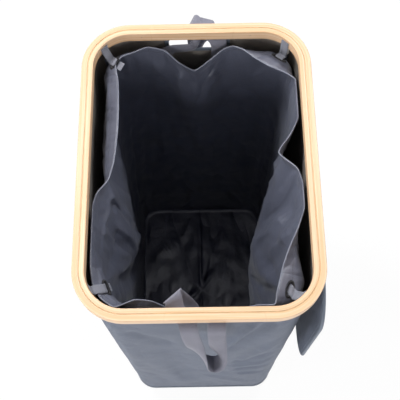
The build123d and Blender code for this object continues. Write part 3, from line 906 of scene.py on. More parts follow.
class HamperColours(bpy.types.PropertyGroup):
    """Colours that a user would change"""

    bamboo: colour_setting("Bamboo", "Face of the bamboo hoops", "#dfc3a5")
    bamboo_edge: colour_setting("Bamboo Grain", "Broad grain of the bamboo", "#d7b18b")
    bamboo_stripe: colour_setting("Bamboo Fibre", "Dark fibres of the bamboo", "#c69766")
    glue: colour_setting("Glue", "Glue line between the hoops", "#deb98a")
    body: colour_setting("Body Cloth", "Woven cloth of the body and the lid", "#565e6f")
    # The inside of the body cloth: a warm grey set to how the shaded gaps under the rim look, so
    # painted light and shade.
    backing: colour_setting("Backing", "Inside of the body cloth", "#857e78")
    liner: colour_setting("Liner Cloth", "Smooth cloth of the liner", "#5b5f6f")
    liner_thread: colour_setting("Liner Thread", "Thread of the liner's hem", "#62626f")
    webbing: colour_setting("Webbing", "Handles", "#7d7d8a")
    tape: colour_setting("Edging", "Bound edges", "#69727f")
    tab: colour_setting("Tabs", "Corner tabs", "#82848f")
    thread: colour_setting("Thread", "Sewing thread", "#8e97a3")
    # Near-black thread round the slots: painted shade for the dark of their openings.
    slot_thread: colour_setting("Slot Thread", "Thread round the liner's slots", "#15151a")
    board: colour_setting("Board", "Stiffening boards", "#7d7468")
    plastic: colour_setting("Plastic", "Rod caps and plugs", "#d6d6d2")
    steel: colour_setting("Steel", "Rods and brads", "#9a9b9f")


# Thickness of plain and of thin sheets of cloth, and how far stitches stand off a surface.
SHEET_THICKNESS = 0.9 * MM
THIN_THICKNESS = 0.6 * MM
THREAD_LIFT = 0.12 * MM

# ---- Rim ----

# The glue between the hoops: how far in from the rim's outside, how far down, its section in mm.
GLUE_INSET = 9.1 * MM
GLUE_DEPTH = 3.4 * MM
GLUE_SECTION = ((-0.47, -2.5), (0.47, -2.5), (0.47, 2.5), (0, 2.1), (-0.47, 2.5))


class HAMPER_OT_rim(bpy.types.Operator):
    """Finish the two bamboo hoops and the brads that hold them together"""

    bl_idname = "hamper.rim"
    bl_label = "Rim"

    def execute(self, context):
        give_finish("bamboo_outer", "outer_hoop")
        give_finish("bamboo_inner", "inner_hoop")
        give_finish("brad_steel", "hoop_brads")
        self.make_glue_line()
        return {"FINISHED"}

    def make_glue_line(self):
        """The uneven line of glue that closes the joint between the hoops."""
        size = (v - GLUE_INSET for v in (RIM_HIGH.x, RIM_HIGH.y, RIM_RADIUS))
        points, outward = outline(evenly(480), *size)
        sag = 0.25 * MM * ripple(raised(points, 0), 0.03, 5.0)
        spine = raised(points, RIM_HIGH.z - GLUE_DEPTH + sag)
        section = section_in_mm(GLUE_SECTION)
        glue = sweep("rim_glue_line", spine, raised(outward, 0), section, finish("glue"), True)
        dress(glue, "basket", "bamboo")


# ---- Body cloth ----

# Both hand-holes, seen with X to the right and Z up, in the cloth past SHORT_SIDE_Y.
HOLE_CENTRE_X = 2 * MM
HOLE_CENTRE_Z = 694 * MM
HOLE_HALF_WIDTH = 43 * MM
HOLE_HALF_HEIGHT = 14 * MM
HOLE_CORNER = 11 * MM
SHORT_SIDE_Y = 200 * MM
FRONT_CREASE_DEPTH = 2.3
# Heights in mm of the body cloth's rows: between the hoops, along the hand-holes, and below.
BODY_HEIGHTS = (720, 717, 714.5, 712.5, *np.linspace(711, 676, 12), *np.linspace(670, 2, 106))
# How near to a hand-hole's edge a point of the cloth is moved onto it.
HOLE_SNAP = 2.0 * MM
# The side seam's place on the body cloth's row below the rim, its points, and its rows' offset.
SEAM_ROW = 20
SEAM_PLACE = (-118 * MM, 206 * MM)
SEAM_POINTS = 260
SEAM_COLUMNS = 0.55
# The base's binding, clockwise, and the hinge strip's X and Z from its foot, in mm.
BINDING_SECTION = (
    (3.4, 0.1), (3.1, 0.75), (1.2, 1.05), (-1.2, 1.1), (-2.7, 0.95), (-3.3, 0.2),
    (-3.3, -0.5), (-1.0, -0.55), (1.0, -0.55), (3.1, -0.5),
)
HINGE_STRIP = (
    (156.95, 696.2), (157, 702), (157.3, 707), (159, 709.3), (163.5, 709.5), (166, 709.5),
)

# Creases of the front: X and Z of each end, half width, and height outwards, in mm.
FRONT_CREASES = (
    (30, 470, 76, 668, 7, 3.0),
    (76, 668, 88, 700, 6, 2.0),
    (44, 455, 96, 660, 12, -2.6),
    (-122, 640, -117, 505, 11, 2.2),
    (-117, 505, -124, 250, 13, 2.6),
    (64, 372, 118, 520, 9, 2.4),
    (58, 330, 122, 420, 10, -2.2),
    (50, 285, 124, 352, 8, 2.0),
    (60, 240, 124, 282, 9, -2.0),
    (66, 196, 122, 215, 8, 1.8),
    (-60, 560, -20, 130, 22, -1.8),
    (-96, 420, -40, 90, 16, 1.5),
    (10, 180, 92, 70, 12, 1.5),
    (-100, 620, -50, 500, 12, -1.5),
)


def hole_distance(x, z):
    """Distance from a hand-hole's edge in the plane of the cloth, negative inside it."""
    beyond_x = np.abs(x - HOLE_CENTRE_X) - (HOLE_HALF_WIDTH - HOLE_CORNER)
    beyond_z = np.abs(z - HOLE_CENTRE_Z) - (HOLE_HALF_HEIGHT - HOLE_CORNER)
    outside = np.hypot(np.maximum(beyond_x, 0), np.maximum(beyond_z, 0))
    return outside + np.minimum(np.maximum(beyond_x, beyond_z), 0) - HOLE_CORNER


def hole_edge(grow, count, y):
    """Points round a hand-hole's edge at Y, anticlockwise seen with X to the right."""
    half_x, half_z = HOLE_HALF_WIDTH + grow, HOLE_HALF_HEIGHT + grow
    radius = HOLE_CORNER + grow
    points = []
    for quarter, (sx, sz) in enumerate(((1, 1), (-1, 1), (-1, -1), (1, -1))):
        for angle in np.linspace(0, math.pi / 2, 12):
            turn = angle + quarter * math.pi / 2
            x = sx * (half_x - radius) + radius * math.cos(turn)
            z = sz * (half_z - radius) + radius * math.sin(turn)
            points.append((x, z))
    points = np.array(points + points[:1])
    run = run_along(points)
    at = np.linspace(0, run[-1], count, endpoint=False)
    x, z = (np.interp(at, run, points[:, k]) for k in (0, 1))
    return np.stack([x + HOLE_CENTRE_X, np.full(count, y), z + HOLE_CENTRE_Z], axis=1)


def crease_heights(x, z, creases):
    """Height outwards of straight creases over places given in mm."""
    total = np.zeros_like(x)
    for x1, z1, x2, z2, width, height in creases:
        run = np.array([x2 - x1, z2 - z1], float)
        long = np.hypot(*run)
        along = ((x - x1) * run[0] + (z - z1) * run[1]) / long**2
        off = ((x - x1) * run[1] - (z - z1) * run[0]) / long
        ends = smoothstep(along / 0.22 + 0.5) * smoothstep((1 - along) / 0.22 + 0.5)
        total += height * np.exp(-((off / width) ** 2)) * ends
    return total


def body_bulge(points, outward, z):
    """How far the body cloth stands off its plain taper: creases, slack and the rods' pull."""
    x, y = points[:, 0], points[:, 1]

    def waves(size, seed, *spots):
        return ripple(np.stack(spots, axis=1), size, seed)

    folds = waves(0.045, 4.0, x * 0.55, y * 0.55, z * 0.22 + x * 0.08) * 1.9
    folds += waves(0.13, 9.0, x, y, np.full_like(x, z)) * 2.6
    folds += waves(0.028, 2.0, x + z * 0.5, y - z * 0.4, np.full_like(x, z * 0.3)) * 0.8
    on_front = smoothstep((-y / MM - 196) / 12)
    front = crease_heights(x / MM, z / MM, FRONT_CREASES)
    amount = folds * (1 - 0.6 * on_front) + FRONT_CREASE_DEPTH * front * on_front
    turned = np.minimum(np.abs(outward[:, 0]), np.abs(outward[:, 1]))
    amount *= 1 - 0.85 * smoothstep(turned / 0.7)
    near_hole = smoothstep(hole_distance(x, z) / (26 * MM))
    amount *= np.where(np.abs(outward[:, 1]) > 0.9, near_hole, 1.0)
    return amount * MM * smoothstep((700 - z / MM) / 60) * smoothstep((z / MM - 8) / 50)


def body_grid():
    """Middle points of the whole body cloth from its top edge, between the hoops, to its foot."""
    near_hole = HOLE_HALF_WIDTH + 6 * MM
    across = [np.linspace(RIM_CENTRE_X, 54 * MM, 9)]
    across.append(np.linspace(near_hole, -near_hole, 27) + HOLE_CENTRE_X)
    across.append(np.linspace(-50 * MM, -RIM_CENTRE_X, 9))
    across = np.concatenate(across)
    along = np.linspace(-RIM_CENTRE_Y, RIM_CENTRE_Y, 51)
    places = {REAR: across, FRONT: across[::-1], RIGHT: along, LEFT: along[::-1]}
    corner = np.linspace(0, 1, 17)
    shares = [share_at(leg, v) for leg in range(8) for v in places.get(leg, corner)[:-1]]
    rows = []
    for z in np.array(BODY_HEIGHTS) * MM:
        top = BODY_TOP if z < BODY_TOP[3] else (*BODY_TOP[:3], z)
        points, outward = tapered(shares, z, top, BODY_FOOT)
        plain, facing = tapered(shares, z, BODY_TOP, BODY_FOOT)
        rows.append(raised(points + outward * body_bulge(plain, facing, z)[:, None], z))
    return np.array(rows)


def level_row(x, z, low, high, count):
    """A level row of points at X and Z in mm, ending a little inside a box."""
    return [(x * MM, y, z * MM) for y in np.linspace(low.y + 3 * MM, high.y - 3 * MM, count)]


class HAMPER_OT_body(bpy.types.Operator):
    """Make the body cloth with its creases, hand-holes, edgings, hinge strip and base"""

    bl_idname = "hamper.body"
    bl_label = "Body"

    def execute(self, context):
        sizes = context.scene.hamper_sizes
        grid = body_grid()
        self.fit_holes(grid)

        def kept(centres):
            x, y, z = centres.T
            return (hole_distance(x, z) > 0) | (np.abs(y) < SHORT_SIDE_Y)

        # The wall's inside faces take the painted light and shade of the gaps under the rim.
        cloth, backing = finish("body_cloth"), finish("body_backing")
        thickness = sizes.cloth_thickness
        wall = shell("body_cloth_wall", grid, thickness, cloth, keep=kept, inside_material=backing)
        panels = [name for name in NODES if name.startswith("body_cloth_")]
        dress(wall, "basket", "body_cloth", *panels)
        self.edge_hand_holes(sizes.edging_width)
        self.make_base()
        self.make_hinge_strip()
        self.side_seam(grid)
        return {"FINISHED"}

    def fit_holes(self, grid):
        """Move the points nearest to a hand-hole's edge onto it."""
        x, y, z = (grid[..., k] for k in range(3))
        away = hole_distance(x, z)
        near = (np.abs(away) < HOLE_SNAP) & (np.abs(y) > SHORT_SIDE_Y)
        step = 0.05 * MM
        slope_x = (hole_distance(x + step, z) - away) / step
        slope_z = (hole_distance(x, z + step) - away) / step
        x -= np.where(near, away * slope_x, 0)
        z -= np.where(near, away * slope_z, 0)

    def edge_hand_holes(self, width):
        """Folded tape sewn round both hand-holes."""
        half, gap = 1.3, 0.45
        wide = width / MM
        section = [(-wide, half), (-wide, gap), (-0.2, gap), (-0.2, -gap), (-wide, -gap)]
        section += [(-wide, -half), (-0.9, -half), (0, -half * 0.8), (0.5, -0.4)]
        section += [(0.5, 0.4), (0, half * 0.8), (-0.9, half)]
        section = [(a * MM, b * MM) for a, b in section][::-1]
        for name, side in (("front", -1), ("rear", 1)):
            y = side * (BODY_TOP[1] - 0.1 * MM)
            spine = hole_edge(0.4 * MM, 120, y)
            inward = spine - hole_edge(3 * MM, 120, y)
            edging = "hand_hole_edging_" + name
            edging = sweep(edging, spine, inward, section, finish("edge_tape"), True)
            dress(edging, "basket", "edge_tape", "hand_hole_binding_" + name)
            lift = (half + 0.1) * MM
            paths = [(hole_edge(0.78 * width, 200, y + face * lift), True) for face in (-1, 1)]
            sewn("hand_hole_stitches_" + name, paths, "basket", "edge_tape")

    def make_base(self):
        """The base cloth under the board, and the binding that joins it to the wall."""
        rows = []
        for inset in np.linspace(0, 1, 16):
            points, _ = outline(evenly(220), *(v * (1 - inset) for v in BODY_FOOT[:3]))
            sag = 0.35 * MM * ripple(raised(points, 0), 0.05, 3.0)
            sag *= smoothstep(inset * 6) * smoothstep((1 - inset) * 8)
            rows.append(raised(points, 0.75 * MM + sag))
        rows = np.array(rows)[::-1]
        base = shell("base_cloth_sheet", rows, SHEET_THICKNESS, finish("body_cloth"))
        straight_threads(base, lambda face: True, 0, 1)
        dress(base, "basket", "body_cloth", "base_cloth")
        points, outward = outline(evenly(360), *(v + 0.45 * MM for v in BODY_FOOT[:3]))
        lift = 3.4 * MM + 0.25 * MM * ripple(raised(points, 0), 0.02, 6.0)
        spine = raised(points + outward * 0.5 * MM, lift)
        section = section_in_mm(BINDING_SECTION)
        binding = sweep("base_piping", spine, UP, section, finish("edge_tape"), True)
        dress(binding, "basket", "edge_tape", "base_binding")
        row = raised(points + outward * 1.65 * MM, lift + 1.9 * MM)
        sewn("base_stitches", [(row, True)], "basket", "edge_tape")

    def make_hinge_strip(self):
        """The strip under the rim on the right that the lid's flap is sewn to."""
        low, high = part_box("lid_hinge_strip")
        rows = path_through([(x, 0, z) for x, z in HINGE_STRIP], 14)[::-1]
        y = np.linspace(low.y, high.y, 120)
        wave = 0.12 * MM * np.sin(y * 90)
        grid = np.array([np.stack([x + wave, y, np.full_like(y, z)], axis=1) for x, _, z in rows])
        cloth = finish("body_cloth")
        strip = shell("hinge_strip_cloth", grid, SHEET_THICKNESS, cloth, wrap=False)
        dress(strip, "basket", "body_cloth", "lid_hinge_strip")
        row = level_row(157.55, 699.5, low, high, 100)
        sewn("hinge_strip_stitches", [(row, False)], "basket")

    def side_seam(self, grid):
        """The upright seam where the body cloth's two ends meet, beside the rear left rod."""
        away = np.abs(grid[SEAM_ROW, :, :2] - SEAM_PLACE).sum(axis=1)
        column = int(np.argmin(away))
        rows = np.linspace(6, len(grid) - 3, SEAM_POINTS)
        shifts = (-SEAM_COLUMNS, SEAM_COLUMNS)
        columns = [np.full(SEAM_POINTS, column + shift) for shift in shifts]
        paths = [(on_grid(grid, rows, at, 0.75 * MM), False) for at in columns]
        sewn("side_seam_stitches", paths, "basket")


# ---- Support rods ----

# Axis of the rear right rod, in mm, at its sleeve's two ends.
ROD_FOOT = (127.67, 194.82, 22.0)
ROD_HEAD = (134.6, 189.99, 690.0)
SLEEVE_RADIUS = 3.85 * MM
SLEEVE_SIDES = 20
SLEEVE_ROWS = 130


class HAMPER_OT_rods(bpy.types.Operator):
    """Finish the rods, their caps and the base board, and sew a cloth sleeve round each rod"""

    bl_idname = "hamper.rods"
    bl_label = "Rods"

    def execute(self, context):
        give_finish("rod_steel", *("support_rod_" + corner for corner in CORNER_SIGNS))
        give_finish("cap_plastic", "rod_foot_caps", "rod_top_plugs")
        give_finish("fibreboard", "base_board")
        for corner, signs in CORNER_SIGNS.items():
            self.make_sleeve(corner, signs)
        return {"FINISHED"}

    def make_sleeve(self, corner, signs):
        """A channel of cloth, slightly puckered along its seam."""
        turns = np.arange(SLEEVE_SIDES) * TURN / SLEEVE_SIDES
        turns = turns if signs[0] * signs[1] > 0 else turns[::-1]
        circle = np.stack([np.cos(turns), np.sin(turns)], axis=1)
        foot, head = (np.array(end) * (*signs, 1) * MM for end in (ROD_FOOT, ROD_HEAD))
        rows = []
        for share in np.linspace(1, 0, SLEEVE_ROWS):
            centre = foot + share * (head - foot)
            radius = SLEEVE_RADIUS + 0.18 * MM * ripple(raised(circle, share * 30), 0.9, 5.0)
            rows.append(raised(circle * signs * radius[:, None] + centre[:2], centre[2]))
        name = "rod_sleeve_cloth_" + corner
        sleeve = shell(name, np.array(rows), THIN_THICKNESS, finish("body_cloth"))
        dress(sleeve, "basket", "sleeve_cloth", "rod_sleeve_" + corner)


# ---- Liner ----

# The liner's grid as it settles, its finer grid after that, and its floor's rows.
LINER_COLUMNS = 230
LINER_WALL_ROWS = 96
FINE_COLUMNS = 348
FINE_TOP_ROWS = 44
FINE_LOW_ROWS = 68
FINE_TOP = 90 * MM
LINER_FLOOR_ROWS = 22
FLOOR_TOP = LINER_FOOT[3] + 9 * MM
# Heights, in mm, at which the folds of the liner's wall are given.
FOLD_HEIGHTS = (690, 650, 600, 550, 450, 300, 120)
# How far below the hem the first fold height is at least, and each next one, in mm.
FIRST_FOLD_DROP = 16
NEXT_FOLD_DROP = 20
LINER_LOWEST = 5.6 * MM
LINER_HIGHEST = 711 * MM
# The gap kept to the body cloth, and how far the cloth may move while it settles.
LINER_MARGIN = 0.5 * MM
SETTLE_REACH = 14 * MM
# How firmly loose cloth is held while it settles, how near a slot's middle cloth is held fast,
# and how much further off it is loose.
LEAST_HOLD = 0.035
SLOT_HOLD = 14 * MM
SLOT_LET_GO = 16 * MM
HEM_THICKER = 1.8
HEM_POINTS = 1100

# The liner's folds anticlockwise: leg and place on it, the hem's X, Y and Z in mm, and how far
# the cloth hangs inwards of its plain taper at each of the fold heights, in mm.
LINER_FOLDS = (
    (RIGHT, -140, (110, -147, 707), (9, 20, 27, 34, 46, 42, 12)),
    (RIGHT, -112, (120, -121, 708), (9, 25, 37, 46, 56, 46, 12)),
    (RIGHT, -83, (134, -91, 707), (7, 30, 46, 58, 60, 40, 12)),
    (RIGHT, -56, (144.5, -62, 706), (4, 26, 50, 63, 54, 34, 10)),
    (RIGHT, -28, (145, -30, 706), (3, 18, 42, 55, 46, 30, 8)),
    (RIGHT, -3, (138, -4, 706), (9, 20, 36, 46, 38, 24, 6)),
    (RIGHT, 20, (114, 20, 705), (24, 30, 34, 36, 28, 15, 4)),
    (RIGHT, 46, (131, 47, 706), (14, 22, 28, 28, 20, 10, 3)),
    (RIGHT, 74, (144, 74, 706), (3, 10, 18, 20, 13, 6, 2)),
    (RIGHT, 104, (145, 104, 706), (2, 6, 11, 13, 9, 5, 2)),
    (RIGHT, 136, (144, 136, 707), (2, 4, 6, 8, 6, 4, 2)),
    (REAR_RIGHT, 0.2, (127, 149, 708), (1, 3, 5, 6, 5, 4, 2)),
    (REAR_RIGHT, 0.5, (106, 159, 709), (1, 3, 5, 6, 5, 4, 2)),
    (REAR_RIGHT, 0.8, (86, 174, 708), (2, 4, 6, 7, 6, 4, 2)),
    (REAR, 82, (68, 190, 707), (5, 8, 9, 9, 6, 4, 2)),
    (REAR, 60, (54, 196, 705), (4, 9, 12, 11, 7, 4, 2)),
    (REAR, 42, (42, 195, 700), (6, 16, 18, 14, 8, 4, 2)),
    (REAR, 22, (22, 186, 686), (16, 26, 27, 18, 10, 5, 2)),
    (REAR, -2, (-3, 178, 668), (23, 30, 36, 24, 11, 5, 2)),
    (REAR, -26, (-28, 182, 686), (17, 27, 29, 20, 10, 5, 2)),
    (REAR, -46, (-46, 192, 701), (8, 14, 19, 15, 8, 5, 2)),
    (REAR, -70, (-70, 196, 706), (4, 8, 11, 11, 8, 4, 2)),
    (REAR_LEFT, 0.15, (-92, 188, 706), (4, 6, 8, 8, 6, 4, 2)),
    (REAR_LEFT, 0.5, (-111, 180, 706), (1, 3, 5, 6, 5, 4, 2)),
    (REAR_LEFT, 0.85, (-119, 165, 706), (4, 4, 5, 6, 5, 4, 2)),
    (LEFT, 138, (-115, 140, 707), (8, 5, 6, 8, 6, 4, 2)),
    (LEFT, 100, (-113, 100, 708), (9, 6, 9, 13, 10, 5, 2)),
    (LEFT, 62, (-113, 62, 708), (9, 7, 14, 24, 16, 8, 3)),
    (LEFT, 32, (-115, 31, 708), (9, 9, 22, 33, 22, 10, 3)),
    (LEFT, 4, (-118, 5, 708), (10, 13, 28, 38, 26, 12, 4)),
    (LEFT, -17, (-125, -18, 706), (12, 17, 34, 42, 28, 14, 4)),
    (LEFT, -36, (-139, -36, 706), (8, 18, 38, 46, 30, 14, 4)),
    (LEFT, -56, (-145, -56, 706), (5, 19, 41, 48, 30, 14, 4)),
    (LEFT, -82, (-145, -82, 706), (4, 16, 32, 39, 24, 12, 4)),
    (LEFT, -112, (-145, -112, 706), (6, 15, 25, 29, 18, 8, 3)),
    (LEFT, -140, (-144, -141, 706), (12, 20, 23, 23, 14, 6, 2)),
    (FRONT_LEFT, 0.2, (-140, -165, 706), (17, 22, 19, 16, 10, 5, 2)),
    (FRONT_LEFT, 0.5, (-129, -184, 707), (15, 19, 15, 11, 7, 4, 2)),
    (FRONT_LEFT, 0.8, (-111, -196, 707), (12, 15, 12, 9, 6, 4, 2)),
    (FRONT, -84, (-84, -187, 706), (3, 5, 8, 9, 7, 4, 2)),
    (FRONT, -62, (-62, -189, 703), (3, 7, 10, 10, 7, 4, 2)),
    (FRONT, -44, (-45, -194, 692), (3, 4, 7, 8, 7, 4, 2)),
    (FRONT, 0, (0, -198, 677), (1, 2, 4, 6, 6, 4, 2)),
    (FRONT, 46, (46, -198, 684), (1, 2, 5, 7, 6, 4, 2)),
    (FRONT, 74, (74, -196, 702), (2, 4, 7, 8, 6, 4, 2)),
    (FRONT_RIGHT, 0.1, (97, -196, 706), (2, 6, 9, 11, 10, 6, 2)),
    (FRONT_RIGHT, 0.5, (101, -180, 708), (2, 10, 15, 19, 22, 18, 6)),
    (FRONT_RIGHT, 0.85, (106, -162, 708), (6, 16, 22, 28, 36, 32, 10)),
)
# The liner's sharp creases, in mm: how far in the cloth stands along each, its width, its points.
LINER_CREASES = (
    (8.0, 10, (-130, -22, 661), (-116, -22, 578), (-107, -13, 443)),
    (4.5, 9, (-128, 29, 698), (-130, -22, 661), (-135, -90, 663), (-133, -161, 698)),
    (-4.0, 8, (-140, -63, 691), (-135, -90, 663), (-136, -131, 693)),
    (-4.5, 9, (-127, -28, 639), (-121, -87, 604), (-124, -152, 677)),
    (2.6, 7, (-75, 195, 687), (-55, 192, 639), (-40, 190, 610)),
    (2.2, 9, (-104, 190, 682), (-114, 130, 640), (-129, 87, 583)),
    (2.0, 10, (-25, 181, 683), (-17, 176, 643), (-25, 189, 485)),
    (2.4, 8, (25, 185, 658), (12, 172, 603), (4, 180, 520)),
    (2.6, 10, (98, 194, 633), (108, 192, 547), (126, 186, 445)),
    (6.0, 11, (138, 20, 690), (120, 39, 620), (104, -16, 570), (83, -68, 517)),
    (3.2, 10, (104, 20, 690), (116, -24, 608), (123, -67, 635), (126, -97, 643)),
    (-3.2, 12, (83, -70, 512), (98, -62, 579), (112, -84, 617)),
    (2.4, 12, (128, -78, 652), (127, -100, 664), (116, -139, 700)),
    (-5.0, 9, (104, -97, 565), (112, -134, 586), (108, -150, 640)),
)
# The same for its floor, where the cloth stands up.
FLOOR_CREASES = (
    (4.0, 7, (-118, 60, 6), (-99, 90, 6), (-41, 128, 6), (-26, 168, 6)),
    (2.5, 6, (-120, 172, 6), (-60, 166, 6), (-26, 170, 6)),
    (2.5, 7, (-13, 98, 6), (77, 68, 6)),
    (2.0, 8, (9, 184, 6), (24, 98, 6), (11, 18, 6)),
)
# About where each corner's slot sits, in mm, and its size.
SLOT_AIMS = {
    "front_left": (-122, -167, 691),
    "front_right": (118, -175, 698),
    "rear_left": (-117, 171, 699),
    "rear_right": (122, 181, 696),
}
SLOT_HALF_LENGTH = 9 * MM
SLOT_HALF_HEIGHT = 3.6 * MM
# The cloth round a slot that belongs to it, the edge's band of points, and the opening's depth.
SLOT_REACH = 16 * MM
SLOT_SNAP = 1.7 * MM
SLOT_DEPTH = 6 * MM
# A slot's stitches: how many go round it, and their pitch, length and thread's radius.
SLOT_STITCHES = 40
SLOT_THREAD = (1.0 * MM, 2.6 * MM, 0.6 * MM)
# How far out from a slot's edge its buttonhole stitches pass, and how high, in mm.
BUTTONHOLE = ((0.1, 0.75), (1.3, 1.55), (2.6, 0.95))


def liner_wall():
    """Middle points of the liner's wall as it hangs, hem first, before it settles."""
    shares = np.array([share_at(leg, at if leg % 2 else at * MM) for leg, at, _, _ in LINER_FOLDS])
    rows = [np.array([hem for _, _, hem, _ in LINER_FOLDS]) * MM]
    for level, height in enumerate(FOLD_HEIGHTS):
        row = []
        for share, (_, _, hem, inward) in zip(shares, LINER_FOLDS):
            z = min(height, hem[2] - FIRST_FOLD_DROP - NEXT_FOLD_DROP * level) * MM
            point, outward = tapered([share], z, LINER_TOP, LINER_FOOT)
            x, y = point[0] - outward[0] * (inward[level] * MM + LINER_MARGIN)
            row.append((x, y, z))
        rows.append(np.array(row))
    foot, _ = tapered(shares, LINER_FOOT[3], LINER_TOP, LINER_FOOT)
    rows.append(raised(foot, LINER_FOOT[3]))
    order = np.argsort(shares)
    around = np.arange(LINER_COLUMNS) / LINER_COLUMNS
    rows = [through(shares[order], row[order], around, closed=True, tension=0.4) for row in rows]
    rows = np.array(rows)
    drop = run_down(rows)
    return through(drop, rows, np.linspace(0, drop[-1], LINER_WALL_ROWS))


def held_inside(grid):
    """Points of the liner's wall kept within the space that the body cloth and rods leave it."""
    flat = grid.reshape(-1, 3)
    share = np.clip((flat[:, 2] - LINER_FOOT[3]) / (LINER_TOP[3] - LINER_FOOT[3]), 0, 1)
    half_x, half_y, radius = taper_size(share, LINER_TOP, LINER_FOOT)
    centre = np.stack([half_x - radius, half_y - radius], axis=1)
    room = (radius - LINER_MARGIN)[:, None]
    beyond = np.abs(flat[:, :2]) - centre
    reach = np.linalg.norm(np.maximum(beyond, 0), axis=1, keepdims=True)
    in_corner = (beyond > 0).all(axis=1, keepdims=True)
    rounded = beyond * np.minimum(1, room / np.maximum(reach, POLE))
    beyond = np.where(in_corner, rounded, np.minimum(beyond, room))
    z = np.clip(flat[:, 2], LINER_LOWEST, LINER_HIGHEST)
    return raised(np.sign(flat[:, :2]) * (centre + beyond), z).reshape(grid.shape)


def crease_lift(points, creases):
    """Height in mm that sharp creases add at each point: fading either side and at both ends."""
    total = np.zeros(points.shape[:-1])
    for high, wide, *spots in creases:
        nearest, place_on = np.full(total.shape, 1e3), np.zeros(total.shape)
        spots = np.array(spots, float)
        runs = run_along(spots)
        for start, end, before, after in zip(spots[:-1], spots[1:], runs[:-1], runs[1:]):
            run = end - start
            along = np.clip((points / MM - start) @ run / (run @ run), 0, 1)
            away = np.linalg.norm(points / MM - start - along[..., None] * run, axis=-1)
            place_on = np.where(away < nearest, before + along * (after - before), place_on)
            nearest = np.minimum(nearest, away)
        ends = smoothstep(place_on / wide + 0.6) * smoothstep((runs[-1] - place_on) / wide + 0.6)
        total += high * np.exp(-nearest / wide) * ends
    return total


def liner_floor(foot):
    """The liner's floor on the base board: its fold across, its crumples, closed at its middle."""
    rows = []
    for inset in np.linspace(0, 1, LINER_FLOOR_ROWS + 1)[1:]:
        flat = raised(foot[:, :2] * (1 - inset), LINER_FOOT[3])
        x, y = flat[:, 0] / MM, flat[:, 1] / MM
        spots = flat * (1.2, 0.7, 0)
        rumple = np.abs(ripple(spots, 0.055, 11.0)) * 3.0 + ripple(spots, 0.02, 7.0) * 0.5
        fold = 2.6 * np.exp(-(((x + 3) / 3.5) ** 2))
        long_fold = 5.5 * np.exp(-(((y - 10 - 0.004 * (x + 20) ** 2 - 0.9 * x) / 9) ** 2))
        long_fold *= smoothstep((60 - np.abs(x + 25)) / 30)
        height = rumple + fold + long_fold + crease_lift(flat, FLOOR_CREASES)
        height *= smoothstep(inset * 3.2) * smoothstep((1 - inset) * 9)
        rows.append(flat + UP * (0.2 + height)[:, None] * MM)
    return np.array(rows)


def liner_pins(wall):
    """How firmly each point of the wall is held while it settles: 1 at hem, slots and foot."""
    down = np.linspace(0, 1, len(wall))[:, None]
    hold = np.maximum(1 - smoothstep(down / 0.035) * 0.9, smoothstep((down - 0.9) / 0.08))
    hold = np.maximum(hold, np.full(wall.shape[:2], LEAST_HOLD))
    for aim in SLOT_AIMS.values():
        away = np.linalg.norm(wall - np.array(aim) * MM, axis=2)
        hold = np.maximum(hold, 1 - smoothstep((away - SLOT_HOLD) / SLOT_LET_GO))
    return hold


def settled(wall, growth):
    """The liner's wall after its cloth has settled, its foot held."""
    shift = settle(wall, liner_pins(wall), growth) - wall
    far = np.linalg.norm(shift, axis=2, keepdims=True)
    shift *= np.minimum(1, SETTLE_REACH / np.maximum(far, POLE))
    down = np.arange(len(wall))[:, None, None] / (len(wall) - 1)
    return wall + shift * smoothstep((0.9 - down) / 0.3)


def refined(wall):
    """The liner's wall on a grid finest near the hem, with the small creases of worn cloth."""
    around = np.arange(FINE_COLUMNS) / FINE_COLUMNS
    coarse = np.arange(wall.shape[1]) / wall.shape[1]
    wall = through(coarse, wall.transpose(1, 0, 2), around, closed=True).transpose(1, 0, 2)
    drop = run_down(wall)
    down = np.linspace(0, FINE_TOP, FINE_TOP_ROWS + 1)[:-1]
    down = np.concatenate([down, np.linspace(FINE_TOP, drop[-1], FINE_LOW_ROWS)])
    wall = through(drop, wall, down)
    slack = np.diff(wall, 2, axis=1, prepend=wall[:, -1:], append=wall[:, :1])
    slack = 0.5 + 0.5 * smoothstep(np.linalg.norm(slack, axis=2) / (0.25 * MM))
    sharp = 1 - 2 * np.abs(ripple(wall * (1, 1, 0.6), 0.075, 21.0))
    small = 1 - 2 * np.abs(ripple(wall * (1, 1, 0.8), 0.03, 33.0))
    height = (sharp * 1.6 + small * 0.7) * slack - crease_lift(wall, LINER_CREASES)
    depth = down[:, None] / MM
    height *= smoothstep((depth - 14) / 40) * smoothstep((drop[-1] / MM - depth) / 60)
    return wall + grid_normals(wall, True) * height[..., None] * MM


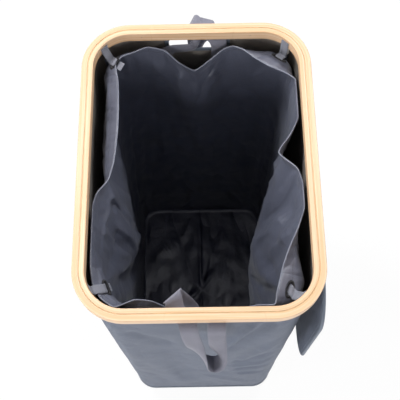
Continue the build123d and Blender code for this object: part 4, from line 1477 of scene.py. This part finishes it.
class Slot:
    """A worked slot in the liner's wall, which a tab passes through."""

    def __init__(self, wall, aim):
        away = np.linalg.norm(wall - np.array(aim) * MM, axis=2)
        row, column = np.unravel_index(np.argmin(away), away.shape)
        after = (column + 2) % wall.shape[1]
        self.centre = wall[row, column].copy()
        self.across = unit(wall[row, after] - wall[row, column - 2])
        normal = np.cross(self.across, wall[row - 2, column] - wall[row + 2, column])
        self.normal = unit(normal if normal[2] > 0 else -normal)
        self.down = np.cross(self.normal, self.across)

    def flat(self, points):
        """Places in the slot's own plane, in its half length and half height."""
        off = points - self.centre
        size = (SLOT_HALF_LENGTH, SLOT_HALF_HEIGHT)
        return np.stack([off @ self.across, off @ self.down], axis=-1) / size

    def fit(self, wall):
        """Move the wall's nearest points onto the slot's edge."""
        flat = self.flat(wall)
        reach = np.linalg.norm(flat, axis=2)
        near = np.linalg.norm(wall - self.centre, axis=2) < SLOT_REACH
        near &= np.abs(reach - 1) * SLOT_HALF_HEIGHT < SLOT_SNAP
        shift = flat * (1 / np.maximum(reach, 0.2) - 1)[..., None]
        move = shift[..., :1] * SLOT_HALF_LENGTH * self.across
        move += shift[..., 1:] * SLOT_HALF_HEIGHT * self.down
        wall += np.where(near[..., None], move, 0)

    def open_at(self, points):
        """Which points lie in the slot's opening."""
        near = np.abs((points - self.centre) @ self.normal) < SLOT_DEPTH
        return near & (np.linalg.norm(self.flat(points), axis=1) < 1)

    def stitch_paths(self, points):
        """Paths of close stitches over the slot's edge, on both faces of the cloth."""
        paths = []
        for turn in evenly(SLOT_STITCHES) * TURN:
            spots = []
            for reach, lift in BUTTONHOLE:
                along = math.cos(turn) * (SLOT_HALF_LENGTH + reach * MM)
                beside = math.sin(turn) * (SLOT_HALF_HEIGHT + reach * MM)
                spot = self.centre + self.across * along + self.down * beside
                order = np.argsort(np.linalg.norm(points - spot, axis=1))
                cloth = (points[order[:4]].mean(axis=0) - spot) @ self.normal
                spots.append((spot + self.normal * cloth, self.normal * lift * MM))
            paths += [([spot + lift * side for spot, lift in spots], False) for side in (-1, 1)]
        return paths


class HAMPER_OT_liner(bpy.types.Operator):
    """Hang the liner from its hem and corner slots, let it settle, and sew its hem and slots"""

    bl_idname = "hamper.liner"
    bl_label = "Liner"

    def execute(self, context):
        sizes = context.scene.hamper_sizes
        wall = held_inside(liner_wall())
        wall = settled(wall, sizes.liner_growth)
        wall = held_inside(refined(wall))
        slots = {corner: Slot(wall, aim) for corner, aim in SLOT_AIMS.items()}
        for slot in slots.values():
            slot.fit(wall)
        grid = np.concatenate([wall, liner_floor(wall[-1])])
        hem_row = float(np.interp(sizes.hem_depth, run_down(wall), np.arange(len(wall))))
        thick = np.full(len(grid), sizes.liner_thickness)
        thick[: int(hem_row)] *= HEM_THICKER

        def kept(centres):
            return ~np.any([slot.open_at(centres) for slot in slots.values()], axis=0)

        bag = shell("liner_bag", grid, thick[:, None, None], finish("liner_cloth"), keep=kept)
        # The floor's faces take the painted shade of the liner's floor.
        bag.data.materials.append(finish("liner_base_cloth"))
        straight_threads(bag, self.on_floor, 0, 1, 1)
        panels = [name for name in NODES if name.startswith("liner_")]
        panels.remove("liner_slot_bindings")
        dress(bag, "basket", "liner_cloth", *panels)
        for corner, slot in slots.items():
            bag["slot_" + corner] = [*slot.centre, *slot.across, *slot.normal]
        self.sew_hem(grid, hem_row, thick[0])
        points = wall.reshape(-1, 3)
        paths = [path for slot in slots.values() for path in slot.stitch_paths(points)]
        # The near-black stitches round each slot are painted shade for the dark of its opening.
        ring = stitches("liner_slot_stitches", paths, *SLOT_THREAD, "slot_thread")
        dress(ring, "basket", "slot_stitching", "liner_slot_bindings")
        return {"FINISHED"}

    @staticmethod
    def on_floor(face):
        """Whether a face belongs to the bag's floor."""
        return face.center.z < FLOOR_TOP and abs(face.normal.z) > 0.5

    def sew_hem(self, grid, hem_row, thickness):
        """The hem's rolled top edge, and its row of stitches."""
        profile = round_profile(thickness / 2 + 0.35 * MM, 9)
        edge = grid[0] + UP * 0.2 * MM
        roll = sweep("liner_hem_roll", edge, UP, profile, finish("liner_cloth"), True)
        dress(roll, "basket", "liner_cloth")
        columns = evenly(HEM_POINTS) * FINE_COLUMNS
        gap = thickness / 2 + THREAD_LIFT
        rows = np.full(HEM_POINTS, hem_row - 0.6)
        paths = [(on_grid(grid, rows, columns, side * gap), True) for side in (-1, 1)]
        sewn("liner_hem_stitches", paths, "basket", "liner_cloth", "liner_thread")


# ---- Corner tabs ----

TAB_WIDTH = 13 * MM
TAB_THICKNESS = 1.1 * MM
TAB_STEPS = 60
# A tab's rows of stitches: from its middle line, and off it on both faces.
TAB_ROW_BESIDE = 4.6 * MM
TAB_ROW_LIFT = 0.65 * MM
# A tab's way from between the hoops: outwards from the corner's centre, and height, in mm.
TAB_TOP = ((51.2, 725), (51.0, 718.5))
TAB_OVER_HEM = ((49.4, 712), (46.5, 710))
# Then through its slot: up the cloth's slope, and off its upper face, in mm.
TAB_THROUGH = (
    (9, 2.2), (2.5, 1.3), (-0.5, -1.2), (-3, -3.5), (-9, -4.5), (-19, -4.2),
)


class HAMPER_OT_tabs(bpy.types.Operator):
    """Lead the four corner tabs from the rim through the liner's slots"""

    bl_idname = "hamper.tabs"
    bl_label = "Corner Tabs"

    def execute(self, context):
        bag = context.scene.objects["liner_bag"]
        for corner, signs in CORNER_SIGNS.items():
            slot, along, normal = np.array(bag["slot_" + corner]).reshape(3, 3)
            centre = np.array([signs[0] * RIM_CENTRE_X, signs[1] * RIM_CENTRE_Y, 0])
            outward = unit((slot - centre) * (1, 1, 0))
            climb = unit(outward - normal * (outward @ normal))
            top = TAB_TOP if normal @ outward >= 0 else TAB_TOP + TAB_OVER_HEM
            route = [centre + (outward * r + UP * z) * MM for r, z in top]
            route += [slot + (climb * up + normal * off) * MM for up, off in TAB_THROUGH]
            spine = path_through(np.array(route) / MM, TAB_STEPS)
            start = np.cross(outward, UP)
            start = start if start @ along > 0 else -start
            turn = smoothstep(np.linspace(0, 1, TAB_STEPS) / 0.6)[:, None]
            across = start * (1 - turn) + along * turn
            profile = band_profile(TAB_WIDTH, TAB_THICKNESS)
            name = "corner_tab_tape_" + corner
            tab = sweep(name, spine, across, profile, finish("tab_tape"))
            dress(tab, "basket", "tab_tape", "corner_tab_" + corner)
            facing = unit(np.cross(np.gradient(spine, axis=0), across))
            beside, off = across[3:] * TAB_ROW_BESIDE, facing[3:] * TAB_ROW_LIFT
            ways = ((-1, -1), (-1, 1), (1, -1), (1, 1))
            rows = [(spine[3:] + beside * a + off * b, False) for a, b in ways]
            sewn("corner_tab_stitches_" + corner, rows, "basket", "tab_tape")
        return {"FINISHED"}


# ---- Handles ----

# Points along a handle's middle line, and the finer points that its width's directions are read
# from.
STRAP_STEPS = 420
WIDTH_STEPS = 2000

# Each handle's middle line in mm from its first sewn end, out, round and back, and how the
# webbing's width lies at each point.
FRONT_HANDLE = (
    ((-10, -195, 640), (1, 0, 0)),
    ((-10.5, -194.6, 662), (1, 0, 0)),
    ((-14, -193, 684), (0.97, 0.2, 0.1)),
    ((-24, -188, 703), (0.85, 0.5, 0.2)),
    ((-33, -184, 715), (0.78, 0.59, 0.21)),
    ((-35, -185.5, 718), (0.78, 0.59, 0.21)),
    ((-34, -190, 716.5), (0.85, 0.5, 0.15)),
    ((-31, -201, 707.5), (1, 0.1, 0)),
    ((-24, -210, 704), (1, 0, 0)),
    ((-17, -218, 704), (1, 0, 0)),
    ((-14.8, -226, 701), (1, 0, 0)),
    ((-12.5, -233, 686), (1, 0, 0)),
    ((-8, -240, 662), (1, -0.05, 0.05)),
    ((-2, -247, 638), (0.8, -0.6, 0.1)),
    ((5, -252.5, 618), (0.35, -0.95, 0.05)),
    ((10.5, -254, 603), (0.1, -1, 0.1)),
    ((18, -254.5, 596), (0.05, -1, 0.1)),
    ((26, -254, 604), (0.1, -1, 0.05)),
    ((27.5, -251, 622), (0.5, -0.85, 0)),
    ((25, -246, 642), (0.85, -0.5, 0)),
    ((22.5, -239, 666), (1, -0.05, 0)),
    ((21.5, -232, 688), (1, 0, 0)),
    ((21.5, -226, 701), (1, 0, 0)),
    ((21.5, -217, 704), (1, 0, 0)),
    ((21.5, -206, 703.5), (1, 0, 0)),
    ((21.5, -198, 697), (1, 0, 0)),
    ((21.5, -195.2, 684), (1, 0, 0)),
    ((21.5, -195, 640), (1, 0, 0)),
)
REAR_HANDLE = (
    ((-50, 204, 640), (1, 0, 0)),
    ((-50, 204, 664), (1, 0, 0)),
    ((-47, 204, 678), (0.9, 0, -0.43)),
    ((-37, 204.5, 686.5), (0.4, 0.1, -0.9)),
    ((-24, 205, 688), (0, 0.12, -0.99)),
    ((-13, 205.5, 688.5), (0.1, 0.15, -0.98)),
    ((-6, 206.5, 690), (0.3, 0.2, -0.93)),
    ((-3, 210, 692), (0.42, 0.15, -0.9)),
    ((-2, 215, 694.5), (0.5, 0.05, -0.86)),
    ((-2, 221, 698.5), (0.7, 0, -0.6)),
    ((-2, 229, 702.5), (0.95, 0.1, -0.2)),
    ((-2.5, 239.5, 702.3), (0.8, 0.6, 0)),
    ((-5, 247, 697.5), (0.5, 0.85, 0)),
    ((-7.5, 250, 689), (0.4, 0.9, 0)),
    ((-8, 252, 665), (0.45, 0.85, 0)),
    ((-6, 256, 628), (0.5, 0.8, 0)),
    ((-2, 258, 607), (0.4, 0.9, 0.1)),
    ((4, 259, 600), (0.3, 0.95, 0)),
    ((9.5, 260, 609), (0.4, 0.9, 0)),
    ((12, 258, 636), (0.8, -0.2, 0)),
    ((13, 254, 668), (0.85, -0.5, 0)),
    ((13, 253.5, 690), (0.9, -0.4, 0)),
    ((12.5, 251, 697.5), (0.95, -0.3, 0)),
    ((14.5, 245, 701), (0.98, -0.18, 0)),
    ((17, 236, 703.4), (1, 0, 0)),
    ((20, 226, 704.4), (1, 0, 0)),
    ((24, 217, 704), (1, 0, 0)),
    ((31, 208, 703.5), (1, 0, 0)),
    ((34, 204.5, 697), (1, 0, 0)),
    ((35, 204, 684), (1, 0, 0)),
    ((35, 204, 640), (1, 0, 0)),
)
# A sewn end's box in half widths across and mm up, and the corners that its rows of stitches join.
BOX_CORNERS = ((-1, 2.5), (1, 2.5), (1, 20), (-1, 20))
BOX_ROWS = ((0, 1), (1, 2), (2, 3), (3, 0), (0, 2), (1, 3))
BOX_INSET = 2.6 * MM
BOX_POINTS = 12


class HAMPER_OT_handles(bpy.types.Operator):
    """Thread both webbing handles out through the hand-holes, and box-stitch their ends"""

    bl_idname = "hamper.handles"
    bl_label = "Handles"

    def execute(self, context):
        sizes = context.scene.hamper_sizes
        for name, side, route in (("front", -1, FRONT_HANDLE), ("rear", 1, REAR_HANDLE)):
            spine, across = self.middle_line(route)
            profile = band_profile(sizes.strap_width, sizes.strap_thickness)
            strap = sweep("handle_strap_" + name, spine, across, profile, finish("webbing"))
            dress(strap, None, "webbing", "handle_anchor_" + name, "handle_loop_" + name)
            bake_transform(strap)
            self.box_stitch(name, side, spine, across, sizes)
        return {"FINISHED"}

    def middle_line(self, route):
        """Evenly spaced points along a handle, and the directions of its width."""
        points = np.array([p for p, _ in route], float)
        spine = path_through(points, STRAP_STEPS)
        knots = smooth_knots(points)
        fine_knots = np.linspace(0, knots[-1], WIDTH_STEPS)
        fine = through(knots, points * MM, fine_knots)
        nearest = [int(np.argmin(np.linalg.norm(fine - p, axis=1))) for p in spine]
        widths = unit(np.array([w for _, w in route], float))
        return spine, through(knots, widths, fine_knots)[nearest]

    def box_stitch(self, name, side, spine, across, sizes):
        """A box with a cross in it over each sewn end."""
        paths = []
        half = sizes.strap_width / 2 - BOX_INSET
        face = np.array([0, -side * (sizes.strap_thickness / 2 + THREAD_LIFT), 0])
        for end in (0, -1):
            base, wide = spine[end] + face, unit(across[end]) * half
            corners = [base + wide * a + UP * b * MM for a, b in BOX_CORNERS]
            rows = [np.linspace(corners[a], corners[b], BOX_POINTS) for a, b in BOX_ROWS]
            paths += [(row, False) for row in rows]
        sewn("handle_box_stitches_" + name, paths, "basket", "webbing")


# ---- Lid ----

LID_CORNER = 64 * MM
# A cover's rows: how far in from the lid's edge, in mm.
COVER_STEPS = (2.6, 3.4, 4.6, 6, 9, *np.linspace(14, 158, 22))
COVER_COLUMNS = 240
# A cover's row of stitches: how far in from the lid's edge, off the cover's middle, and its points.
COVER_SEAM_INSET = 7.5 * MM
COVER_SEAM_LIFT = 0.75 * MM
COVER_SEAM_POINTS = 500
PIPING_POINTS = 420
# The lid's flap: height of its two fold lines, and X and Z in mm along its upper and its lower
# part.
FLAP_FOLDS = (709.5 * MM, 685.5 * MM)
FLAP_UPPER = ((163.4, 709.5), (165.2, 709.3), (166.6, 707.8), (167, 705), (167, 697.5))
FLAP_LOWER = ((167, 697.5), (167, 690), (167, 684), (167.3, 679.5))


def lid_outline(inset, count):
    """Middle of the lid's plate, Y and Z round it off its middle, and the directions outwards."""
    low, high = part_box("lid_piping")
    half_y, half_z = (high.y - low.y) / 2 - inset, (high.z - low.z) / 2 - inset
    radius = max(LID_CORNER - inset, 4 * MM)
    points, outward = outline(evenly(count), half_z, half_y, radius)
    return (low + high) / 2, points[:, 1], points[:, 0], outward


class HAMPER_OT_lid(bpy.types.Operator):
    """Cover the lid's board, cord its edge and hang it on its flap"""

    bl_idname = "hamper.lid"
    bl_label = "Lid"

    def execute(self, context):
        give_finish("greyboard", "lid_board")
        for name, cloth in (("outer", "body_cloth"), ("inner", "liner_cloth")):
            self.make_cover(f"lid_{name}_cover", f"lid_{name}_cloth", cloth)
        self.make_piping(context.scene.hamper_sizes.piping_radius)
        self.make_flap()
        return {"FINISHED"}

    def make_cover(self, name, node, cloth):
        """A cover drawn over the board, a little slack in its middle and turned in at its edge."""
        low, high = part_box(node)
        plane = (low.x + high.x) / 2
        side = 1 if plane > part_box("lid_board")[1].x else -1
        rows = []
        for inset in COVER_STEPS:
            middle, y, z, _ = lid_outline(inset * MM, COVER_COLUMNS)
            spots = np.stack([y * 0.8, z * 0.5, np.full_like(y, side * 0.3)], axis=1)
            slack = ripple(spots, 0.09, 3.0) * 0.35 + ripple(spots, 0.03, 8.0) * 0.12
            pull = 0.35 * np.exp(-(((inset - 9) / 9) ** 2)) * ripple(spots, 0.012, 5.0)
            stand = 0.25 + 0.25 * smoothstep(inset / 40) + slack * smoothstep(inset / 30) + pull
            x = plane + side * stand * smoothstep((inset - 2.4) / 4) * MM
            rows.append(np.stack([x, middle.y + y, middle.z + z], axis=1))
        last = rows[-1]
        heart = last.mean(axis=0)
        rows += [heart + (last - heart) * share for share in (0.6, 0.3, 0.0)]
        cover = shell(name, np.array(rows)[:, ::side], THIN_THICKNESS, finish(cloth))
        straight_threads(cover, lambda face: True, 1, 2)
        dress(cover, "lid", cloth, node)
        middle, y, z, _ = lid_outline(COVER_SEAM_INSET, COVER_SEAM_POINTS)
        x = np.full_like(y, plane + side * COVER_SEAM_LIFT)
        row = np.stack([x, middle.y + y, middle.z + z], axis=1)
        sewn(name + "_stitches", [(row, True)], "lid")

    def make_piping(self, radius):
        """The cord sewn into the lid's edge."""
        middle, y, z, outward = lid_outline(radius, PIPING_POINTS)
        flat = np.zeros_like(y)
        wave = 0.08 * MM * ripple(np.stack([y, z, flat], 1), 0.01, 2.0)
        y = middle.y + y + outward[:, 1] * wave
        spine = np.stack([flat + middle.x, y, middle.z + z], axis=1)
        across = np.stack([flat, outward[:, 1], outward[:, 0]], axis=1)
        profile = round_profile(radius, 14)
        piping = sweep("lid_piping_cord", spine, across, profile, finish("edge_tape"), True)
        dress(piping, "lid", "edge_tape", "lid_piping")

    def make_flap(self):
        """The cloth between body and lid, in two parts that bend at its two fold lines."""
        low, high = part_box("lid_flap")
        middle_z, fold_low = sum(FLAP_FOLDS) / 2, FLAP_FOLDS[1]
        y = np.linspace(low.y, high.y, 130)
        wavy = 0.35 * MM * ripple(np.stack([y, y * 0, y * 0], 1), 0.03, 4.0)
        for name, path, count in (("upper", FLAP_UPPER, 16), ("lower", FLAP_LOWER, 18)):
            rows = []
            for x, _, z in path_through([(x, 0, z) for x, z in path], count):
                ease = smoothstep(1 - abs(z - middle_z) / (12 * MM))
                rows.append(np.stack([x + wavy * ease, y, np.full_like(y, z)], axis=1))
            grid, cloth = np.array(rows), finish("body_cloth")
            flap = shell("lid_flap_" + name, grid, SHEET_THICKNESS, cloth, wrap=False)
            if name == "upper":
                dress(flap, None, "body_cloth", "lid_flap")
                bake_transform(flap)
            else:
                dress(flap, None, "body_cloth")
                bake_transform(flap)
        row = level_row(167.75, 700.5, low, high, 90)
        sewn("lid_flap_stitches", [(row, False)], "flap")


# ---- Studio ----

# The camera's lens in mm, its place, and its turns in degrees, the last one made first.
CAMERA_LENS = 66.6
CAMERA_PLACE = (0.00799, -0.41601, 1.64966)
CAMERA_TURNS = ((0.879, "Z"), (21.25, "X"), (-1.810, "Z"))
FLOOR_HALF = 15.0
FLOOR_Z = -0.0004
WHITE = (1.0, 1.0, 1.0)
# Each lamp: its place, where it aims, its size and its power.
LAMPS = {
    "front": ((-0.7, -2.7, 1.4), (0, 0, 0.6), 0.9, 30),
    "front_left": ((-2.5, -1.2, 1.3), (0, 0, 0.6), 0.8, 30),
    "front_right": ((2.3, -1.5, 1.3), (0, 0, 0.6), 0.8, 24),
    "low_left": ((-2.6, 0.5, 1.9), (0, 0, 0.65), 0.7, 20),
    "left": ((-1.15, 0.9, 3.05), (0, 0.05, 0.68), 0.6, 64),
    "rear_right": ((1.2, 1.6, 2.8), (0, 0.05, 0.68), 0.6, 47),
}


def seen_directly(s):
    """1 for what the camera, a gloss or a clear surface shows of the studio."""
    path = s.parts("ShaderNodeLightPath")
    shown = path["Is Camera Ray"].math("MAXIMUM", path["Is Glossy Ray"])
    return shown.math("MAXIMUM", path["Is Transmission Ray"])


class HAMPER_OT_stage(bpy.types.Operator):
    """Set up the camera, the pale floor and a plain soft studio light"""

    bl_idname = "hamper.stage"
    bl_label = "Stage"

    def execute(self, context):
        scene = context.scene
        scene.view_settings.view_transform = "Standard"
        camera = bpy.data.cameras.new("view")
        camera.lens = CAMERA_LENS
        camera.sensor_width = 36
        camera.clip_end = 100
        viewer = add_object("view", camera)
        place = Matrix.Translation(CAMERA_PLACE)
        for degrees, axis in CAMERA_TURNS:
            place = place @ Matrix.Rotation(math.radians(degrees), 4, axis)
        viewer.matrix_world = place
        scene.camera = viewer
        self.make_floor()
        self.make_world(scene)
        self.make_lights()
        return {"FINISHED"}

    def make_floor(self):
        mesh = bpy.data.meshes.new("floor")
        signs = ((-1, -1), (1, -1), (1, 1), (-1, 1))
        corners = [(x * FLOOR_HALF, y * FLOOR_HALF, FLOOR_Z) for x, y in signs]
        mesh.from_pydata(corners, [], [(0, 1, 2, 3)])
        floor = add_object("floor", mesh)
        material, s = new_material("studio_floor")
        matte = s.add("ShaderNodeBsdfDiffuse", {"Color": (0.86, 0.86, 0.87)})
        glow = s.add("ShaderNodeEmission", {"Color": WHITE, "Strength": 1.0})
        share = seen_directly(s) * 0.93
        mixed = s.add("ShaderNodeMixShader", {0: share, 1: matte, 2: glow})
        s.node("ShaderNodeOutputMaterial", {0: mixed})
        mesh.materials.append(material)

    def make_world(self, scene):
        world = bpy.data.worlds.new("studio")
        world.use_nodes = True
        scene.world = world
        s = Shading(world.node_tree)
        _, _, climb = s.add("ShaderNodeTexCoord", out="Generated").axes()
        level = climb.span(0.2, 0.9, 0.14, 0.34) * climb.span(0.88, 0.97, 1.0, 0.1)
        fill = s.add("ShaderNodeBackground", {"Color": (0.98, 0.98, 1.0), "Strength": level})
        white = s.add("ShaderNodeBackground", {"Color": WHITE, "Strength": 1.0})
        mixed = s.add("ShaderNodeMixShader", {0: seen_directly(s), 1: fill, 2: white})
        s.node("ShaderNodeOutputWorld", {0: mixed})

    def make_lights(self):
        for name, (place, aim, size, power) in LAMPS.items():
            lamp = bpy.data.lights.new(name, "AREA")
            lamp.shape = "SQUARE"
            lamp.size = size
            lamp.energy = power
            turn = (Vector(aim) - Vector(place)).to_track_quat("-Z", "Y")
            holder = add_object(name, lamp)
            holder.matrix_world = Matrix.Translation(place) @ turn.to_matrix().to_4x4()


# ---- Panel and registration ----

STEPS = (
    HAMPER_OT_stage,
    HAMPER_OT_rim,
    HAMPER_OT_body,
    HAMPER_OT_rods,
    HAMPER_OT_liner,
    HAMPER_OT_tabs,
    HAMPER_OT_handles,
    HAMPER_OT_lid,
)


class VIEW3D_PT_hamper(bpy.types.Panel):
    """Settings and steps of the hamper"""

    bl_idname = "VIEW3D_PT_hamper"
    bl_label = "Laundry Hamper"
    bl_space_type = "VIEW_3D"
    bl_region_type = "UI"
    bl_category = "Hamper"

    def draw(self, context):
        for settings in (context.scene.hamper_sizes, context.scene.hamper_colours):
            box = self.layout.box()
            for name in settings.bl_rna.properties.keys():
                if name not in ("rna_type", "name"):
                    box.prop(settings, name)
        for step in STEPS:
            self.layout.operator(step.bl_idname)


CLASSES = (HamperSizes, HamperColours, *STEPS, VIEW3D_PT_hamper)


def register():
    for cls in CLASSES:
        bpy.utils.register_class(cls)
    bpy.types.Scene.hamper_sizes = bpy.props.PointerProperty(type=HamperSizes)
    bpy.types.Scene.hamper_colours = bpy.props.PointerProperty(type=HamperColours)


def unregister():
    del bpy.types.Scene.hamper_colours
    del bpy.types.Scene.hamper_sizes
    for cls in reversed(CLASSES):
        bpy.utils.unregister_class(cls)


def main():
    register()
    bpy.ops.hamper.stage()
    bpy.ops.hamper.rim()
    bpy.ops.hamper.body()
    bpy.ops.hamper.rods()
    bpy.ops.hamper.liner()
    bpy.ops.hamper.tabs()
    bpy.ops.hamper.handles()
    bpy.ops.hamper.lid()


if __name__ == "__main__":
    main()
